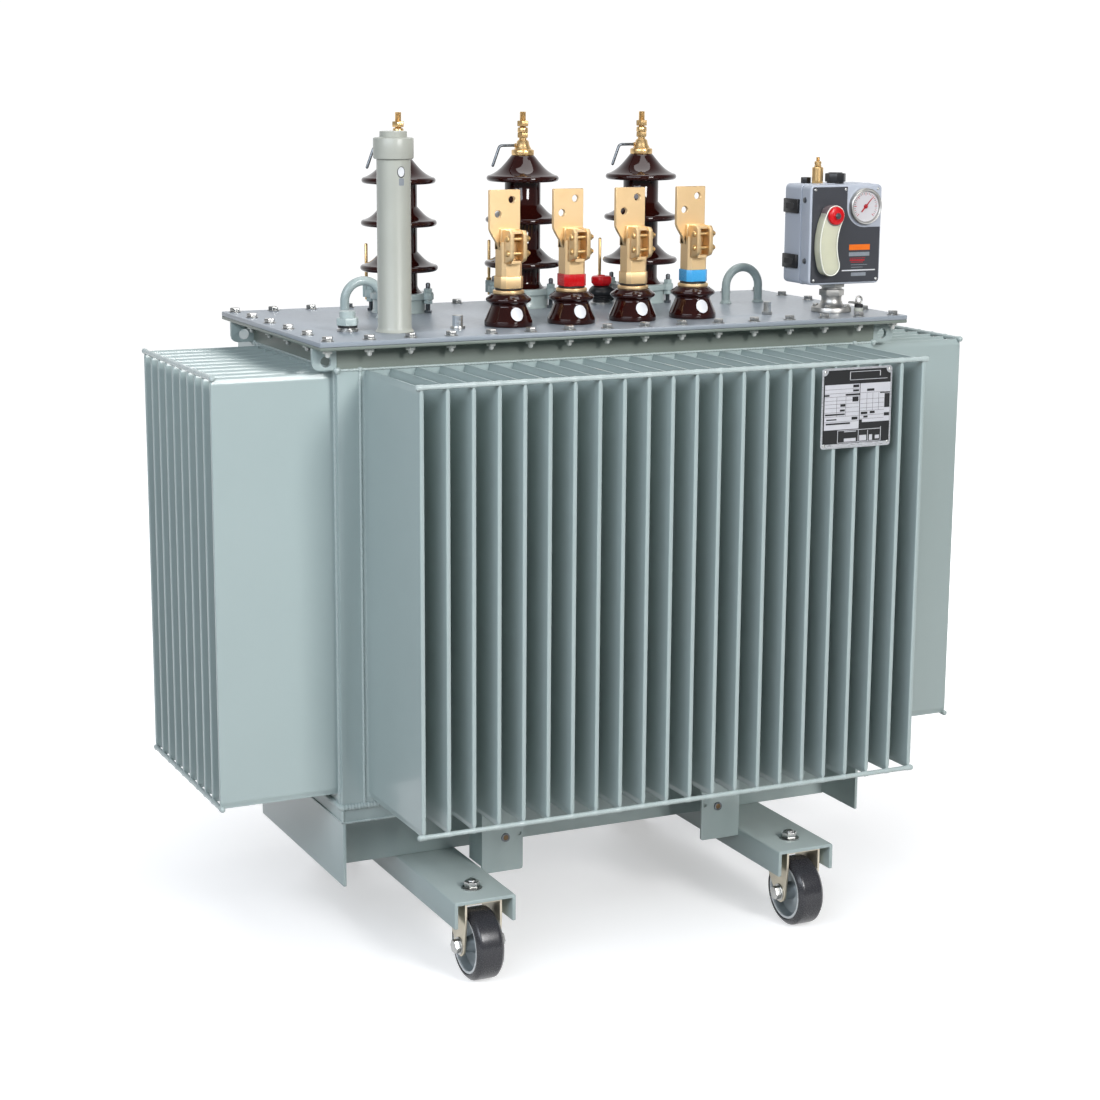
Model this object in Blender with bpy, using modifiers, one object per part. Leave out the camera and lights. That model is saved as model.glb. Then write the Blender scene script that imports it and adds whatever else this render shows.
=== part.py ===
"""Oil-filled power transformer with a corrugated tank, on four fixed castors.

Frame: +X runs along the long front, -Y faces the viewer, +Z is up, and the origin
lies on the floor under the middle of the tank. All sizes are in metres.
"""

import math

import bmesh
import bpy
from mathutils import Matrix

OBJECT_NAME = "power_transformer"

# Gap left between pieces that touch, and how far joined shapes run into each other
GAP = 0.0003
OVERLAP = 0.001

# Castor wheels
WHEEL_RADIUS = 0.066
WHEEL_SIDES = 24
TYRE_WIDTH = 0.054
TYRE_DEPTH = 0.013
TYRE_SHOULDER = 0.004
RIM_LIP = 0.004
HUB_RADIUS = 0.015
HUB_SIDE_PLAY = 0.001
WEB_THICKNESS = 0.010
AXLE_RADIUS = 0.006
AXLE_PLAY = 0.0006
AXLE_SIDES = 12
AXLE_HEAD_RADIUS = 0.0105
AXLE_HEAD_HEIGHT = 0.007

# Skid channels, laid with the open side down
GAUGE = 0.670
CHANNEL_WIDTH = 0.120
CHANNEL_HEIGHT = 0.050
CHANNEL_WALL = 0.007
CHANNEL_LENGTH = 0.772
CHANNEL_CORNER = 0.004

# Castor forks, bolted up inside the channel ends
FORK_PLATE = 0.0045
FORK_TYRE_CLEARANCE = 0.005
FORK_CROWN_CLEARANCE = 0.0175
FORK_CROWN_LENGTH = 0.082
FORK_KNEE_DROP = 0.040
FORK_FOOT_RADIUS = 0.020
CASTOR_BOLT_INSET = 0.065
CASTOR_TRAIL = 0.031

# Support frame between the tank and the skid
CROSS_PLATE_Y = 0.105
CROSS_PLATE_HEIGHT = 0.1235
FRAME_PLATE = 0.006
END_PLATE_RISE = 0.0025

# Jacking brackets, one beside each castor, each with an earthing boss and a hole
BRACKET_WIDTH = 0.084
BRACKET_DEPTH = 0.060
BRACKET_PLATE = 0.005
BRACKET_DROP = 0.014
BRACKET_CORNER = 0.004
BRACKET_HOLE_RADIUS = 0.004
BRACKET_HOLE_OUT = 0.0765
BRACKET_HOLE_RISE = 0.0565
EARTH_BOSS_RADIUS = 0.008
EARTH_BOSS_HEIGHT = 0.002
EARTH_BOSS_OUT = 0.048
EARTH_BOSS_RISE = 0.052

# Corrugated walls
FIN_THICKNESS = 0.008
FIN_SHEET = 0.003
FIN_MARGIN = 0.008
FIN_TIP_STEPS = 3
TIE_BAR_RADIUS = 0.005
TIE_BAR_SIDES = 6
TIE_BAR_OVERHANG = 0.003
TIE_BAR_INSET = 0.0025
LONG_FIN_COUNT = 22
LONG_FIN_PITCH = 0.0470
LONG_FIN_REACH = 0.2570
LONG_FIN_HEIGHT = 0.776
SHORT_FIN_COUNT = 10
SHORT_FIN_PITCH = 0.0455
SHORT_FIN_REACH = 0.2231
SHORT_FIN_STEP = 0.005

# Tank, flange and lid
TANK_CORNER_FRONT = 0.0425
TANK_CORNER_SIDE = 0.01525
TANK_ABOVE_FINS = 0.041
TANK_BELOW_FINS = 0.0433
FLANGE_THICKNESS = 0.006
LID_OVERHANG_ENDS = 0.047
LID_OVERHANG_SIDES = 0.0465
LID_THICKNESS = 0.008
LID_CORNER = 0.004
LUG_REACH = 0.045
LUG_ROOT = 0.020
LUG_HEIGHT = 0.039
LUG_PLATE = 0.008
LUG_HOLE_RADIUS = 0.010
LUG_HOLE_OUT = 0.020
LUG_HOLE_DOWN = 0.024
LUG_CORNER = 0.012
LUG_INSET = 0.0005

# Nameplate on the front fins
PLATE_WIDTH = 0.148
PLATE_HEIGHT = 0.146
PLATE_THICKNESS = 0.0015
PLATE_CORNER = 0.005
PLATE_X = 0.350
PLATE_BELOW_BAR = 0.002

# Lid fittings, with their places taken from the ends of the lid
EYE_FROM_ENDS = (0.205, 0.175)
EYE_Y = 0.054
EYE_ROD_RADIUS = 0.0085
EYE_LEG_SPACING = 0.074
EYE_HEIGHT = 0.079
FILLER_FROM_END = 0.183
FILLER_Y = -0.160
FILLER_RADIUS = 0.030
FILLER_HEIGHT = 0.302
FILLER_COLLAR_RADIUS = 0.0345
FILLER_COLLAR_HEIGHT = 0.006
CAP_RADIUS = 0.0357
CAP_HEIGHT = 0.037
CAP_CHAMFER = 0.002
CAP_TOP_RADIUS = 0.0242
CAP_TOP_HEIGHT = 0.011
POCKET_FROM_END = 0.107
POCKET_Y = -0.125
POCKET_PROFILE = ((0.0, 0.036), (0.0145, 0.036), (0.0145, 0.024), (0.0188, 0.024), (0.0188, 0.010),
                  (0.0140, 0.009), (0.0140, 0.005), (0.0188, 0.004), (0.0188, 0.0), (0.0, 0.0))
STUD_Y = -0.160
STUD_OFFSET = 0.008
STUD_RADII = (0.0095, 0.0073)
STUD_HEIGHT = 0.024

# High-voltage bushings
HV_COUNT = 3
HV_MIDDLE_X = -0.021
HV_PITCH = 0.259
HV_Y = 0.150
HV_STEPS = 16
HV_TURRET_RADIUS = 0.051
HV_TURRET_HEIGHT = 0.025
HV_RING_RADIUS = 0.056
HV_RING_HEIGHT = 0.012
HV_LOBE_CIRCLE = 0.0595
HV_LOBE_RADIUS = 0.011
HV_FOOT_RADIUS = 0.043
HV_FOOT_HEIGHT = 0.010
HV_NECK_RADIUS = 0.035
HV_SHED_RADII = (0.0745, 0.0725, 0.0705)
HV_SHED_HEIGHTS = (0.084, 0.169, 0.249)
HV_SHED_SLOPE = 0.024
HV_SHED_CURVE = 1.75
HV_SHED_RIM = 0.010
HV_SHED_NOSE = 0.005
HV_BODY_TOP = 0.2935
HV_TOP_RADIUS = 0.0215
HV_TERMINAL_PROFILE = ((0.0, 0.0822), (0.0062, 0.0822), (0.0062, 0.065), (0.0108, 0.064),
                       (0.0108, 0.053), (0.0092, 0.052), (0.0105, 0.051), (0.0105, 0.033),
                       (0.0070, 0.031), (0.0070, 0.0265), (0.0115, 0.0255), (0.0168, 0.0105),
                       (0.0218, 0.008), (0.0218, 0.0), (0.0, 0.0))
HV_HORN_PATH = ((-0.010, 0.018), (-0.045, 0.018), (-0.051, 0.011), (-0.063, -0.020))
HV_HORN_RADIUS = 0.0028
HV_ARM_WIDTH = 0.012
HV_ARM_THICKNESS = 0.004
HV_ARM_ROOT = 0.046
HV_ARM_ANGLES = (120.0, 120.0, 146.0)
HV_ROD_CIRCLE = 0.081
HV_ROD_RADIUS = 0.003
HV_ROD_TOP = 0.126
HV_ROD_BELOW_ARM = 0.012

# Low-voltage bushings
LV_COUNT = 4
LV_MIDDLE_X = 0.0045
LV_PITCH = 0.127
LV_Y = -0.150
LV_STEPS = 16
LV_BASE_RADIUS = 0.0442
LV_BASE_HEIGHT = 0.009
LV_NECK_RADIUS = 0.0325
LV_NECK_HEIGHT = 0.0365
LV_BEAD_RADIUS = 0.0418
LV_BEAD_HEIGHT = 0.0475
LV_BEAD_RIM = 0.004
LV_SHOULDER_RADIUS = 0.035
LV_BODY_HEIGHT = 0.058
LV_RING_RADIUS = 0.0286
LV_RING_HEIGHT = 0.0065
LV_SEAL_RADIUS = 0.0235
LV_SEAL_HEIGHT = 0.0035
LV_NUT_SIZE = 0.044
LV_NUT_CHAMFER = 0.007
LV_NUT_HEIGHT = 0.022
LV_SHANK_SIZE = 0.040
LV_SHANK_CHAMFER = 0.006
LV_CLAMP_LIFT = 0.0225
LV_CLAMP_HEIGHT = 0.063
LV_CLAMP_REACH = 0.045
LV_CLAMP_WIDTH = 0.0336
LV_CLAMP_ROOF = 0.006
LV_EAR_THICKNESS = 0.008
LV_EAR_TOP_CHAMFER = 0.005
LV_EAR_LOW_CHAMFER = 0.010
LV_SLOT_DEPTH = 0.023
LV_PALM_WIDTH = 0.060
LV_PALM_HEIGHT = 0.069
LV_PALM_THICKNESS = 0.0085
LV_PALM_OFFSET = -0.009
LV_PALM_SWEEP = 0.045
LV_PALM_HOLE_RADIUS = 0.0065
LV_PALM_HOLE_INSET = 0.0165
LV_PALM_HOLE_DOWN = (0.018, 0.0435)

# Tap changer beside the last high-voltage bushing
TAP_FROM_BUSHING = 0.0905
TAP_Y = 0.140
TAP_BASE_HEIGHT = 0.036
TAP_BASE_PROFILE = ((0.0, 0.036), (0.019, 0.036), (0.0258, 0.027), (0.0258, 0.020), (0.021, 0.016),
                    (0.021, 0.012), (0.017, 0.010), (0.017, 0.0), (0.0, 0.0))
TAP_KNOB_RADIUS = 0.0215
TAP_KNOB_HEIGHT = 0.020
TAP_KNOB_LOBES = 6
TAP_KNOB_DIP = 0.0015
TAP_KNOB_LIFT = 0.0008

# Protection relay
RELAY_FROM_END = 0.100
RELAY_Y = -0.158
RELAY_DEPTH = 0.094
RELAY_HEIGHT = 0.189
RELAY_CORNER = 0.007
RELAY_COVER_DEPTH = 0.029
RELAY_SEAM = 0.0015
RELAY_STAND_HEIGHT = 0.056
RELAY_STAND_OFFSET = 0.0025
RELAY_STAND_PROFILE = ((0.0, 0.056), (0.024, 0.056), (0.024, 0.046), (0.018, 0.044), (0.018, 0.034),
                       (0.024, 0.031), (0.024, 0.014), (0.0385, 0.008), (0.0385, 0.0), (0.0, 0.0))
PANEL_MARGIN = 0.004
PANEL_THICKNESS = 0.0015
PANEL_CORNER = 0.003
GAUGE_RADIUS = 0.0345
GAUGE_CLEARANCE = 0.005
GAUGE_HEIGHT = 0.010
GAUGE_CHAMFER = 0.002
GAUGE_FROM_RIGHT = 0.0395
GAUGE_FROM_TOP = 0.0415
KNOB_TO_GAUGE = 0.0791
KNOB_FROM_LEFT = 0.0414
KNOB_FROM_TOP = 0.0568
KNOB_RADIUS = 0.0172
KNOB_HEIGHT = 0.006
KNOB_BUTTON_RADIUS = 0.007
KNOB_BUTTON_HEIGHT = 0.005
WINDOW_HALF_WIDTH = 0.0195
WINDOW_DEPTH = 0.022
WINDOW_ARC_RADIUS = 0.122
WINDOW_ARC_START = 153.2
WINDOW_ARC_END = 198.6
BLEED_VALVE_OFFSET = -0.037
BLEED_VALVE_PROFILE = ((0.0, 0.050), (0.0036, 0.050), (0.0036, 0.042), (0.0066, 0.041), (0.0066, 0.031),
                       (0.0106, 0.030), (0.0106, 0.0), (0.0, 0.0))
CABLE_PLUG_OFFSET = 0.003
CABLE_PLUG_RADIUS = 0.020
CABLE_PLUG_HEIGHT = 0.019
CLIP_HEIGHT = 0.025
CLIP_LENGTH = 0.050
CLIP_PROUD = 0.005
CLIP_LEVELS = (0.036, 0.139)

# Lengths and heights that follow from the sizes above
LONG_WALL_WIDTH = (LONG_FIN_COUNT - 1) * LONG_FIN_PITCH + FIN_THICKNESS + 2 * FIN_MARGIN
SHORT_WALL_WIDTH = (SHORT_FIN_COUNT - 1) * SHORT_FIN_PITCH + FIN_THICKNESS + 2 * FIN_MARGIN
SHORT_FIN_HEIGHT = LONG_FIN_HEIGHT - 2 * SHORT_FIN_STEP
TANK_LENGTH = LONG_WALL_WIDTH + 2 * TANK_CORNER_FRONT
TANK_DEPTH = SHORT_WALL_WIDTH + 2 * TANK_CORNER_SIDE
TANK_HEIGHT = TANK_BELOW_FINS + LONG_FIN_HEIGHT + TANK_ABOVE_FINS + FLANGE_THICKNESS
LID_LENGTH = TANK_LENGTH + 2 * LID_OVERHANG_ENDS
LID_DEPTH = TANK_DEPTH + 2 * LID_OVERHANG_SIDES
CASTOR_BOLT_Y = CHANNEL_LENGTH / 2 - CASTOR_BOLT_INSET
AXLE_Y = CASTOR_BOLT_Y + CASTOR_TRAIL
CROWN_TOP = 2 * WHEEL_RADIUS + FORK_CROWN_CLEARANCE + FORK_PLATE
CHANNEL_TOP = CROWN_TOP + GAP + CHANNEL_WALL
FRAME_BOTTOM = CHANNEL_TOP + GAP
FRAME_TOP = FRAME_BOTTOM + CROSS_PLATE_HEIGHT
TANK_BOTTOM = FRAME_TOP + GAP
TANK_TOP = TANK_BOTTOM + TANK_HEIGHT
FLANGE_BOTTOM = TANK_TOP - FLANGE_THICKNESS
LID_BOTTOM = TANK_TOP + GAP
LID_TOP = LID_BOTTOM + LID_THICKNESS
SEAT = LID_TOP + GAP
FIN_MIDDLE = FLANGE_BOTTOM - TANK_ABOVE_FINS - LONG_FIN_HEIGHT / 2
EYE_XS = (EYE_FROM_ENDS[0] - LID_LENGTH / 2, LID_LENGTH / 2 - EYE_FROM_ENDS[1])
FILLER_X = FILLER_FROM_END - LID_LENGTH / 2
POCKET_X = POCKET_FROM_END - LID_LENGTH / 2
HV_XS = [HV_MIDDLE_X + (i - (HV_COUNT - 1) / 2) * HV_PITCH for i in range(HV_COUNT)]
LV_XS = [LV_MIDDLE_X + (i - (LV_COUNT - 1) / 2) * LV_PITCH for i in range(LV_COUNT)]
TAP_X = HV_XS[-1] - TAP_FROM_BUSHING
RELAY_WIDTH = KNOB_FROM_LEFT + KNOB_TO_GAUGE + GAUGE_FROM_RIGHT
RELAY_X = LID_LENGTH / 2 - RELAY_FROM_END
RELAY_BOTTOM = SEAT + RELAY_STAND_HEIGHT + GAP
RELAY_TOP = RELAY_BOTTOM + RELAY_HEIGHT
RELAY_FACE = RELAY_Y - RELAY_DEPTH / 2
STUD_XS = ((FILLER_X + LV_XS[0]) / 2 + STUD_OFFSET, (LV_XS[-1] + RELAY_X) / 2 + STUD_OFFSET)

# Turns that lay a flat outline or an upright prism along another axis
FACING_FRONT = (math.pi / 2, 0, 0)
FACING_SIDE = (math.pi / 2, 0, math.pi / 2)
ALONG_X = (0, math.pi / 2, 0)


def clear_scene():
    """Remove every object that the scene holds."""
    for obj in list(bpy.data.objects):
        bpy.data.objects.remove(obj, do_unlink=True)


def new_collection(name):
    """Make a collection under the scene's own."""
    collection = bpy.data.collections.new(name)
    bpy.context.scene.collection.children.link(collection)
    return collection


clear_scene()
PARTS = new_collection(OBJECT_NAME)
CUTTERS = new_collection("cutters")


def make_material(name, colour, roughness, metallic=0.0):
    """Principled material of one plain colour."""
    material = bpy.data.materials.new(name)
    material.use_nodes = True
    shader = material.node_tree.nodes["Principled BSDF"]
    shader.inputs["Base Color"].default_value = (*colour, 1.0)
    shader.inputs["Roughness"].default_value = roughness
    shader.inputs["Metallic"].default_value = metallic
    material.diffuse_color = (*colour, 1.0)
    return material


MATERIALS = {
    "paint": make_material("grey_green_paint", (0.45, 0.53, 0.52), 0.45),
    "lid_paint": make_material("lid_paint", (0.46, 0.50, 0.55), 0.35),
    "porcelain": make_material("brown_porcelain", (0.045, 0.010, 0.008), 0.12),
    "brass": make_material("brass", (0.78, 0.52, 0.20), 0.35, 1.0),
    "zinc": make_material("zinc_plate", (0.62, 0.60, 0.56), 0.40, 1.0),
    "rubber": make_material("black_rubber", (0.045, 0.045, 0.05), 0.55),
    "black": make_material("black_plastic", (0.02, 0.02, 0.022), 0.45),
    "red": make_material("red_plastic", (0.62, 0.015, 0.02), 0.40),
    "housing": make_material("grey_housing", (0.55, 0.58, 0.62), 0.45),
    "clear": make_material("clear_plastic", (0.68, 0.70, 0.55), 0.15),
    "steel": make_material("stainless_steel", (0.60, 0.60, 0.59), 0.30, 1.0),
    "dial": make_material("dial_white", (0.85, 0.85, 0.83), 0.35),
    "plate": make_material("plate_metal", (0.70, 0.70, 0.70), 0.35, 1.0),
}


def mesh_object(name, fill, location=(0, 0, 0), rotation=(0, 0, 0)):
    """Object whose mesh is filled by fill(bm)."""
    mesh = bpy.data.meshes.new(name)
    bm = bmesh.new()
    fill(bm)
    bm.to_mesh(mesh)
    bm.free()
    obj = bpy.data.objects.new(name, mesh)
    obj.location = location
    obj.rotation_euler = rotation
    PARTS.objects.link(obj)
    return obj


def box(name, size, centre, rotation=(0, 0, 0)):
    """Box of the given size about its centre."""
    def fill(bm):
        bmesh.ops.create_cube(bm, size=1.0)
        bmesh.ops.scale(bm, vec=size, verts=bm.verts)
    return mesh_object(name, fill, centre, rotation)


def span_box(name, low, high):
    """Box from its lowest corner to its highest."""
    size = [b - a for a, b in zip(low, high)]
    centre = [(a + b) / 2 for a, b in zip(low, high)]
    return box(name, size, centre)


def cylinder(name, radius, height, base, sides, rotation=(0, 0, 0)):
    """Upright prism of many sides, standing on its base point before it is turned."""
    def fill(bm):
        bmesh.ops.create_cone(bm, cap_ends=True, segments=sides, radius1=radius,
                              radius2=radius, depth=height)
        bmesh.ops.rotate(bm, matrix=Matrix.Rotation(math.pi / sides, 3, "Z"), verts=bm.verts)
        bmesh.ops.translate(bm, vec=(0, 0, height / 2), verts=bm.verts)
    return mesh_object(name, fill, base, rotation)


def turned(name, profile, steps, location=(0, 0, 0), rotation=(0, 0, 0), closed=False):
    """Profile of (radius, height) points, turned about Z from its top to its bottom."""
    def fill(bm):
        verts = [bm.verts.new((radius, 0, height)) for radius, height in profile]
        ends = verts[1:] + verts[:1] if closed else verts[1:]
        for first, second in zip(verts, ends):
            bm.edges.new((first, second))
    obj = mesh_object(name, fill, location, rotation)
    screw = obj.modifiers.new("turn", "SCREW")
    screw.axis = "Z"
    screw.angle = 2 * math.pi
    screw.steps = steps
    screw.render_steps = steps
    screw.use_merge_vertices = True
    screw.merge_threshold = 0.00005
    return obj


def arc(centre, radius, start, end, steps):
    """Points on an arc, with its angles in degrees."""
    angles = [math.radians(start + (end - start) * i / steps) for i in range(steps + 1)]
    return [(centre[0] + radius * math.cos(a), centre[1] + radius * math.sin(a)) for a in angles]


def circle(centre, radius, sides):
    """Closed loop of a round hole."""
    return arc(centre, radius, 0, 360, sides)[:-1]


def rounded_rectangle(width, height, radius, steps=2):
    """Closed loop of a rectangle with round corners, about its centre."""
    x = width / 2 - radius
    y = height / 2 - radius
    return (arc((x, y), radius, 0, 90, steps) + arc((-x, y), radius, 90, 180, steps)
            + arc((-x, -y), radius, 180, 270, steps) + arc((x, -y), radius, 270, 360, steps))


def chamfered_square(size, chamfer):
    """Closed loop of a square with its corners cut off, about its centre."""
    return rounded_rectangle(size, size, chamfer, 1)


def curve_to_mesh(curve_object):
    """Turn a curve object into a welded mesh object of the same name and place."""
    name = curve_object.name
    evaluated = curve_object.evaluated_get(bpy.context.evaluated_depsgraph_get())
    mesh = bpy.data.meshes.new_from_object(evaluated)
    bm = bmesh.new()
    bm.from_mesh(mesh)
    bmesh.ops.remove_doubles(bm, verts=bm.verts, dist=0.00002)
    bmesh.ops.recalc_face_normals(bm, faces=bm.faces)
    bm.to_mesh(mesh)
    bm.free()
    matrix = curve_object.matrix_world.copy()
    bpy.data.objects.remove(curve_object, do_unlink=True)
    obj = bpy.data.objects.new(name, mesh)
    obj.matrix_world = matrix
    PARTS.objects.link(obj)
    return obj


def curve_object(name, dimensions, loops, cyclic, location, rotation=(0, 0, 0)):
    """Curve object with one straight-sided spline for each loop of points."""
    curve = bpy.data.curves.new(name, "CURVE")
    curve.dimensions = dimensions
    for loop in loops:
        spline = curve.splines.new("POLY")
        spline.points.add(len(loop) - 1)
        for point, place in zip(spline.points, loop):
            point.co = (*place, 0, 1) if dimensions == "2D" else (*place, 1)
        spline.use_cyclic_u = cyclic
    obj = bpy.data.objects.new(name, curve)
    obj.location = location
    obj.rotation_euler = rotation
    PARTS.objects.link(obj)
    return obj


def outline(name, loops, thickness, location=(0, 0, 0), rotation=(0, 0, 0)):
    """Flat plate from closed loops of (x, y) points; loops inside the first are holes."""
    obj = curve_object(name, "2D", loops, True, location, rotation)
    obj.data.fill_mode = "BOTH"
    obj.data.extrude = thickness / 2
    bpy.context.view_layer.update()
    return curve_to_mesh(obj)


def tube(name, points, radius, location=(0, 0, 0), resolution=2):
    """Round rod along a run of points."""
    obj = curve_object(name, "3D", [points], False, location)
    obj.data.bevel_depth = radius
    obj.data.bevel_resolution = resolution
    obj.data.use_fill_caps = True
    bpy.context.view_layer.update()
    rod = curve_to_mesh(obj)
    rod.data.shade_smooth()
    return rod


def combine(target, tool, operation):
    """Boolean of a tool object into the target; the tool is kept as a hidden guide."""
    modifier = target.modifiers.new(tool.name, "BOOLEAN")
    modifier.operation = operation
    modifier.solver = "EXACT"
    modifier.object = tool
    PARTS.objects.unlink(tool)
    CUTTERS.objects.link(tool)
    tool.hide_render = True
    tool.display_type = "WIRE"


def bevel(obj, width, segments):
    """Round the sharp edges of a piece."""
    modifier = obj.modifiers.new("bevel", "BEVEL")
    modifier.width = width
    modifier.segments = segments
    modifier.limit_method = "ANGLE"


def dress(obj, material):
    """Give a piece its material."""
    obj.data.materials.clear()
    obj.data.materials.append(MATERIALS[material])


def build_wheel(place, side_x, side_y):
    """Rim and tyre of one castor, turned about X, with a flat facet on the floor."""
    half_turn = math.pi / WHEEL_SIDES
    to_corner = 1 / math.cos(half_turn)
    half = TYRE_WIDTH / 2
    outer = WHEEL_RADIUS * to_corner
    seat = (WHEEL_RADIUS - TYRE_DEPTH) * to_corner
    tyre = turned(f"wheel_tyre_{place}", [
        (seat, half - TYRE_SHOULDER), (outer - TYRE_SHOULDER, half), (outer, half - TYRE_SHOULDER),
        (outer, TYRE_SHOULDER - half), (outer - TYRE_SHOULDER, -half), (seat, TYRE_SHOULDER - half)],
        WHEEL_SIDES, closed=True)
    outside = seat - GAP
    lip = half - TYRE_SHOULDER
    dish = outside - RIM_LIP
    web = WEB_THICKNESS / 2
    hub = half + FORK_TYRE_CLEARANCE - HUB_SIDE_PLAY
    bore = AXLE_RADIUS + AXLE_PLAY
    rim = turned(f"wheel_rim_{place}", [
        (bore, hub), (HUB_RADIUS, hub), (HUB_RADIUS, web), (dish, lip), (outside, lip),
        (outside, -lip), (dish, -lip), (HUB_RADIUS, -web), (HUB_RADIUS, -hub), (bore, -hub)],
        WHEEL_SIDES, closed=True)
    for obj, material in ((tyre, "rubber"), (rim, "zinc")):
        obj.location = (side_x * GAUGE / 2, side_y * AXLE_Y, WHEEL_RADIUS)
        obj.rotation_euler = ALONG_X
        obj.rotation_euler.rotate_axis("Z", half_turn)
        dress(obj, material)


def build_fork(place, side_x, side_y):
    """Pressed fork with its axle bolt, under the end of a channel."""
    x = side_x * GAUGE / 2
    inner = TYRE_WIDTH / 2 + FORK_TYRE_CLEARANCE
    crown_y = CASTOR_BOLT_Y + CASTOR_TRAIL / 2
    fork = box(f"castor_fork_{place}", (2 * (inner + FORK_PLATE), FORK_CROWN_LENGTH, FORK_PLATE),
               (x, side_y * crown_y, CROWN_TOP - FORK_PLATE / 2))
    near = crown_y - FORK_CROWN_LENGTH / 2
    far = crown_y + FORK_CROWN_LENGTH / 2
    top = CROWN_TOP - FORK_PLATE / 2
    knee = CROWN_TOP - FORK_KNEE_DROP
    foot = arc((AXLE_Y, WHEEL_RADIUS), FORK_FOOT_RADIUS, 180, 360, 5)
    shape = [(far, top), (near, top), (near, knee)] + foot + [(far, knee)]
    loop = [(side_y * y, z) for y, z in shape]
    for sign in (-1, 1):
        middle = x + sign * (inner + FORK_PLATE / 2)
        leg = outline(f"fork_leg_{place}_{sign}", [loop], FORK_PLATE, (middle, 0, 0), FACING_SIDE)
        combine(fork, leg, "UNION")
    end = inner + FORK_PLATE + AXLE_HEAD_HEIGHT
    head = end - AXLE_HEAD_HEIGHT - FORK_PLATE / 2
    axle = turned(f"axle_{place}", [
        (0, end), (AXLE_HEAD_RADIUS, end), (AXLE_HEAD_RADIUS, head), (AXLE_RADIUS, head),
        (AXLE_RADIUS, -head), (AXLE_HEAD_RADIUS, -head), (AXLE_HEAD_RADIUS, -end), (0, -end)],
        AXLE_SIDES, (x, side_y * AXLE_Y, WHEEL_RADIUS), ALONG_X)
    combine(fork, axle, "UNION")
    dress(fork, "zinc")


def build_channel(place, side_x):
    """Skid channel along Y, with its open side down."""
    half = CHANNEL_WIDTH / 2
    inner = half - CHANNEL_WALL
    corner_x = half - CHANNEL_CORNER
    corner_z = CHANNEL_HEIGHT - CHANNEL_CORNER
    roof = CHANNEL_HEIGHT - CHANNEL_WALL
    loop = ([(half, 0)] + arc((corner_x, corner_z), CHANNEL_CORNER, 0, 90, 3)
            + arc((-corner_x, corner_z), CHANNEL_CORNER, 90, 180, 3)
            + [(-half, 0), (-inner, 0), (-inner, roof), (inner, roof), (inner, 0)])
    channel = outline(f"skid_channel_{place}", [loop], CHANNEL_LENGTH,
                      (side_x * GAUGE / 2, 0, CHANNEL_TOP - CHANNEL_HEIGHT), FACING_FRONT)
    dress(channel, "paint")


def build_frame():
    """Two cross plates on the channels, closed by an end plate at each end."""
    half = TANK_LENGTH / 2
    depth = TANK_DEPTH / 2
    low = FRAME_BOTTOM + END_PLATE_RISE
    frame = span_box("support_frame", (-half, -depth, low), (FRAME_PLATE - half, depth, FRAME_TOP))
    other = span_box("end_plate_right", (half - FRAME_PLATE, -depth, low), (half, depth, FRAME_TOP))
    reach = half - FRAME_PLATE / 2
    for sign in (-1, 1):
        front = sign * CROSS_PLATE_Y - FRAME_PLATE / 2
        plate = span_box(f"cross_plate_{sign}", (-reach, front, FRAME_BOTTOM),
                         (reach, front + FRAME_PLATE, FRAME_TOP))
        combine(frame, plate, "UNION")
    combine(frame, other, "UNION")
    dress(frame, "paint")


def build_bracket(place, side_x, side_y):
    """Angle bracket from the tank bottom to the inner side of a channel."""
    outer = GAUGE / 2 - CHANNEL_WIDTH / 2 - GAP
    inner = outer + GAP - BRACKET_WIDTH
    low = CHANNEL_TOP - BRACKET_DROP
    face = TANK_DEPTH / 2
    middle = face - BRACKET_PLATE / 2
    corner = arc((inner + BRACKET_CORNER, low + BRACKET_CORNER), BRACKET_CORNER, 180, 270, 2)
    shape = [(outer, FRAME_TOP), (inner, FRAME_TOP)] + corner + [(outer, low)]
    hole = circle((side_x * (outer - BRACKET_HOLE_OUT), CHANNEL_TOP + BRACKET_HOLE_RISE),
                  BRACKET_HOLE_RADIUS, 8)
    bracket = outline(f"jacking_bracket_{place}", [[(side_x * x, z) for x, z in shape], hole],
                      BRACKET_PLATE, (0, side_y * middle, 0), FACING_FRONT)
    near = side_x * (outer - BRACKET_PLATE)
    back = side_y * (face - BRACKET_DEPTH)
    root = side_y * middle
    side = span_box(f"bracket_side_{place}",
                    (min(near, side_x * outer), min(root, back), CHANNEL_TOP + GAP),
                    (max(near, side_x * outer), max(root, back), FRAME_TOP))
    combine(bracket, side, "UNION")
    boss = cylinder(f"earth_boss_{place}", EARTH_BOSS_RADIUS, EARTH_BOSS_HEIGHT + OVERLAP,
                    (side_x * (outer - EARTH_BOSS_OUT), side_y * (face - OVERLAP),
                     CHANNEL_TOP + EARTH_BOSS_RISE), 12, (-side_y * math.pi / 2, 0, 0))
    combine(bracket, boss, "UNION")
    dress(bracket, "paint")


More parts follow.
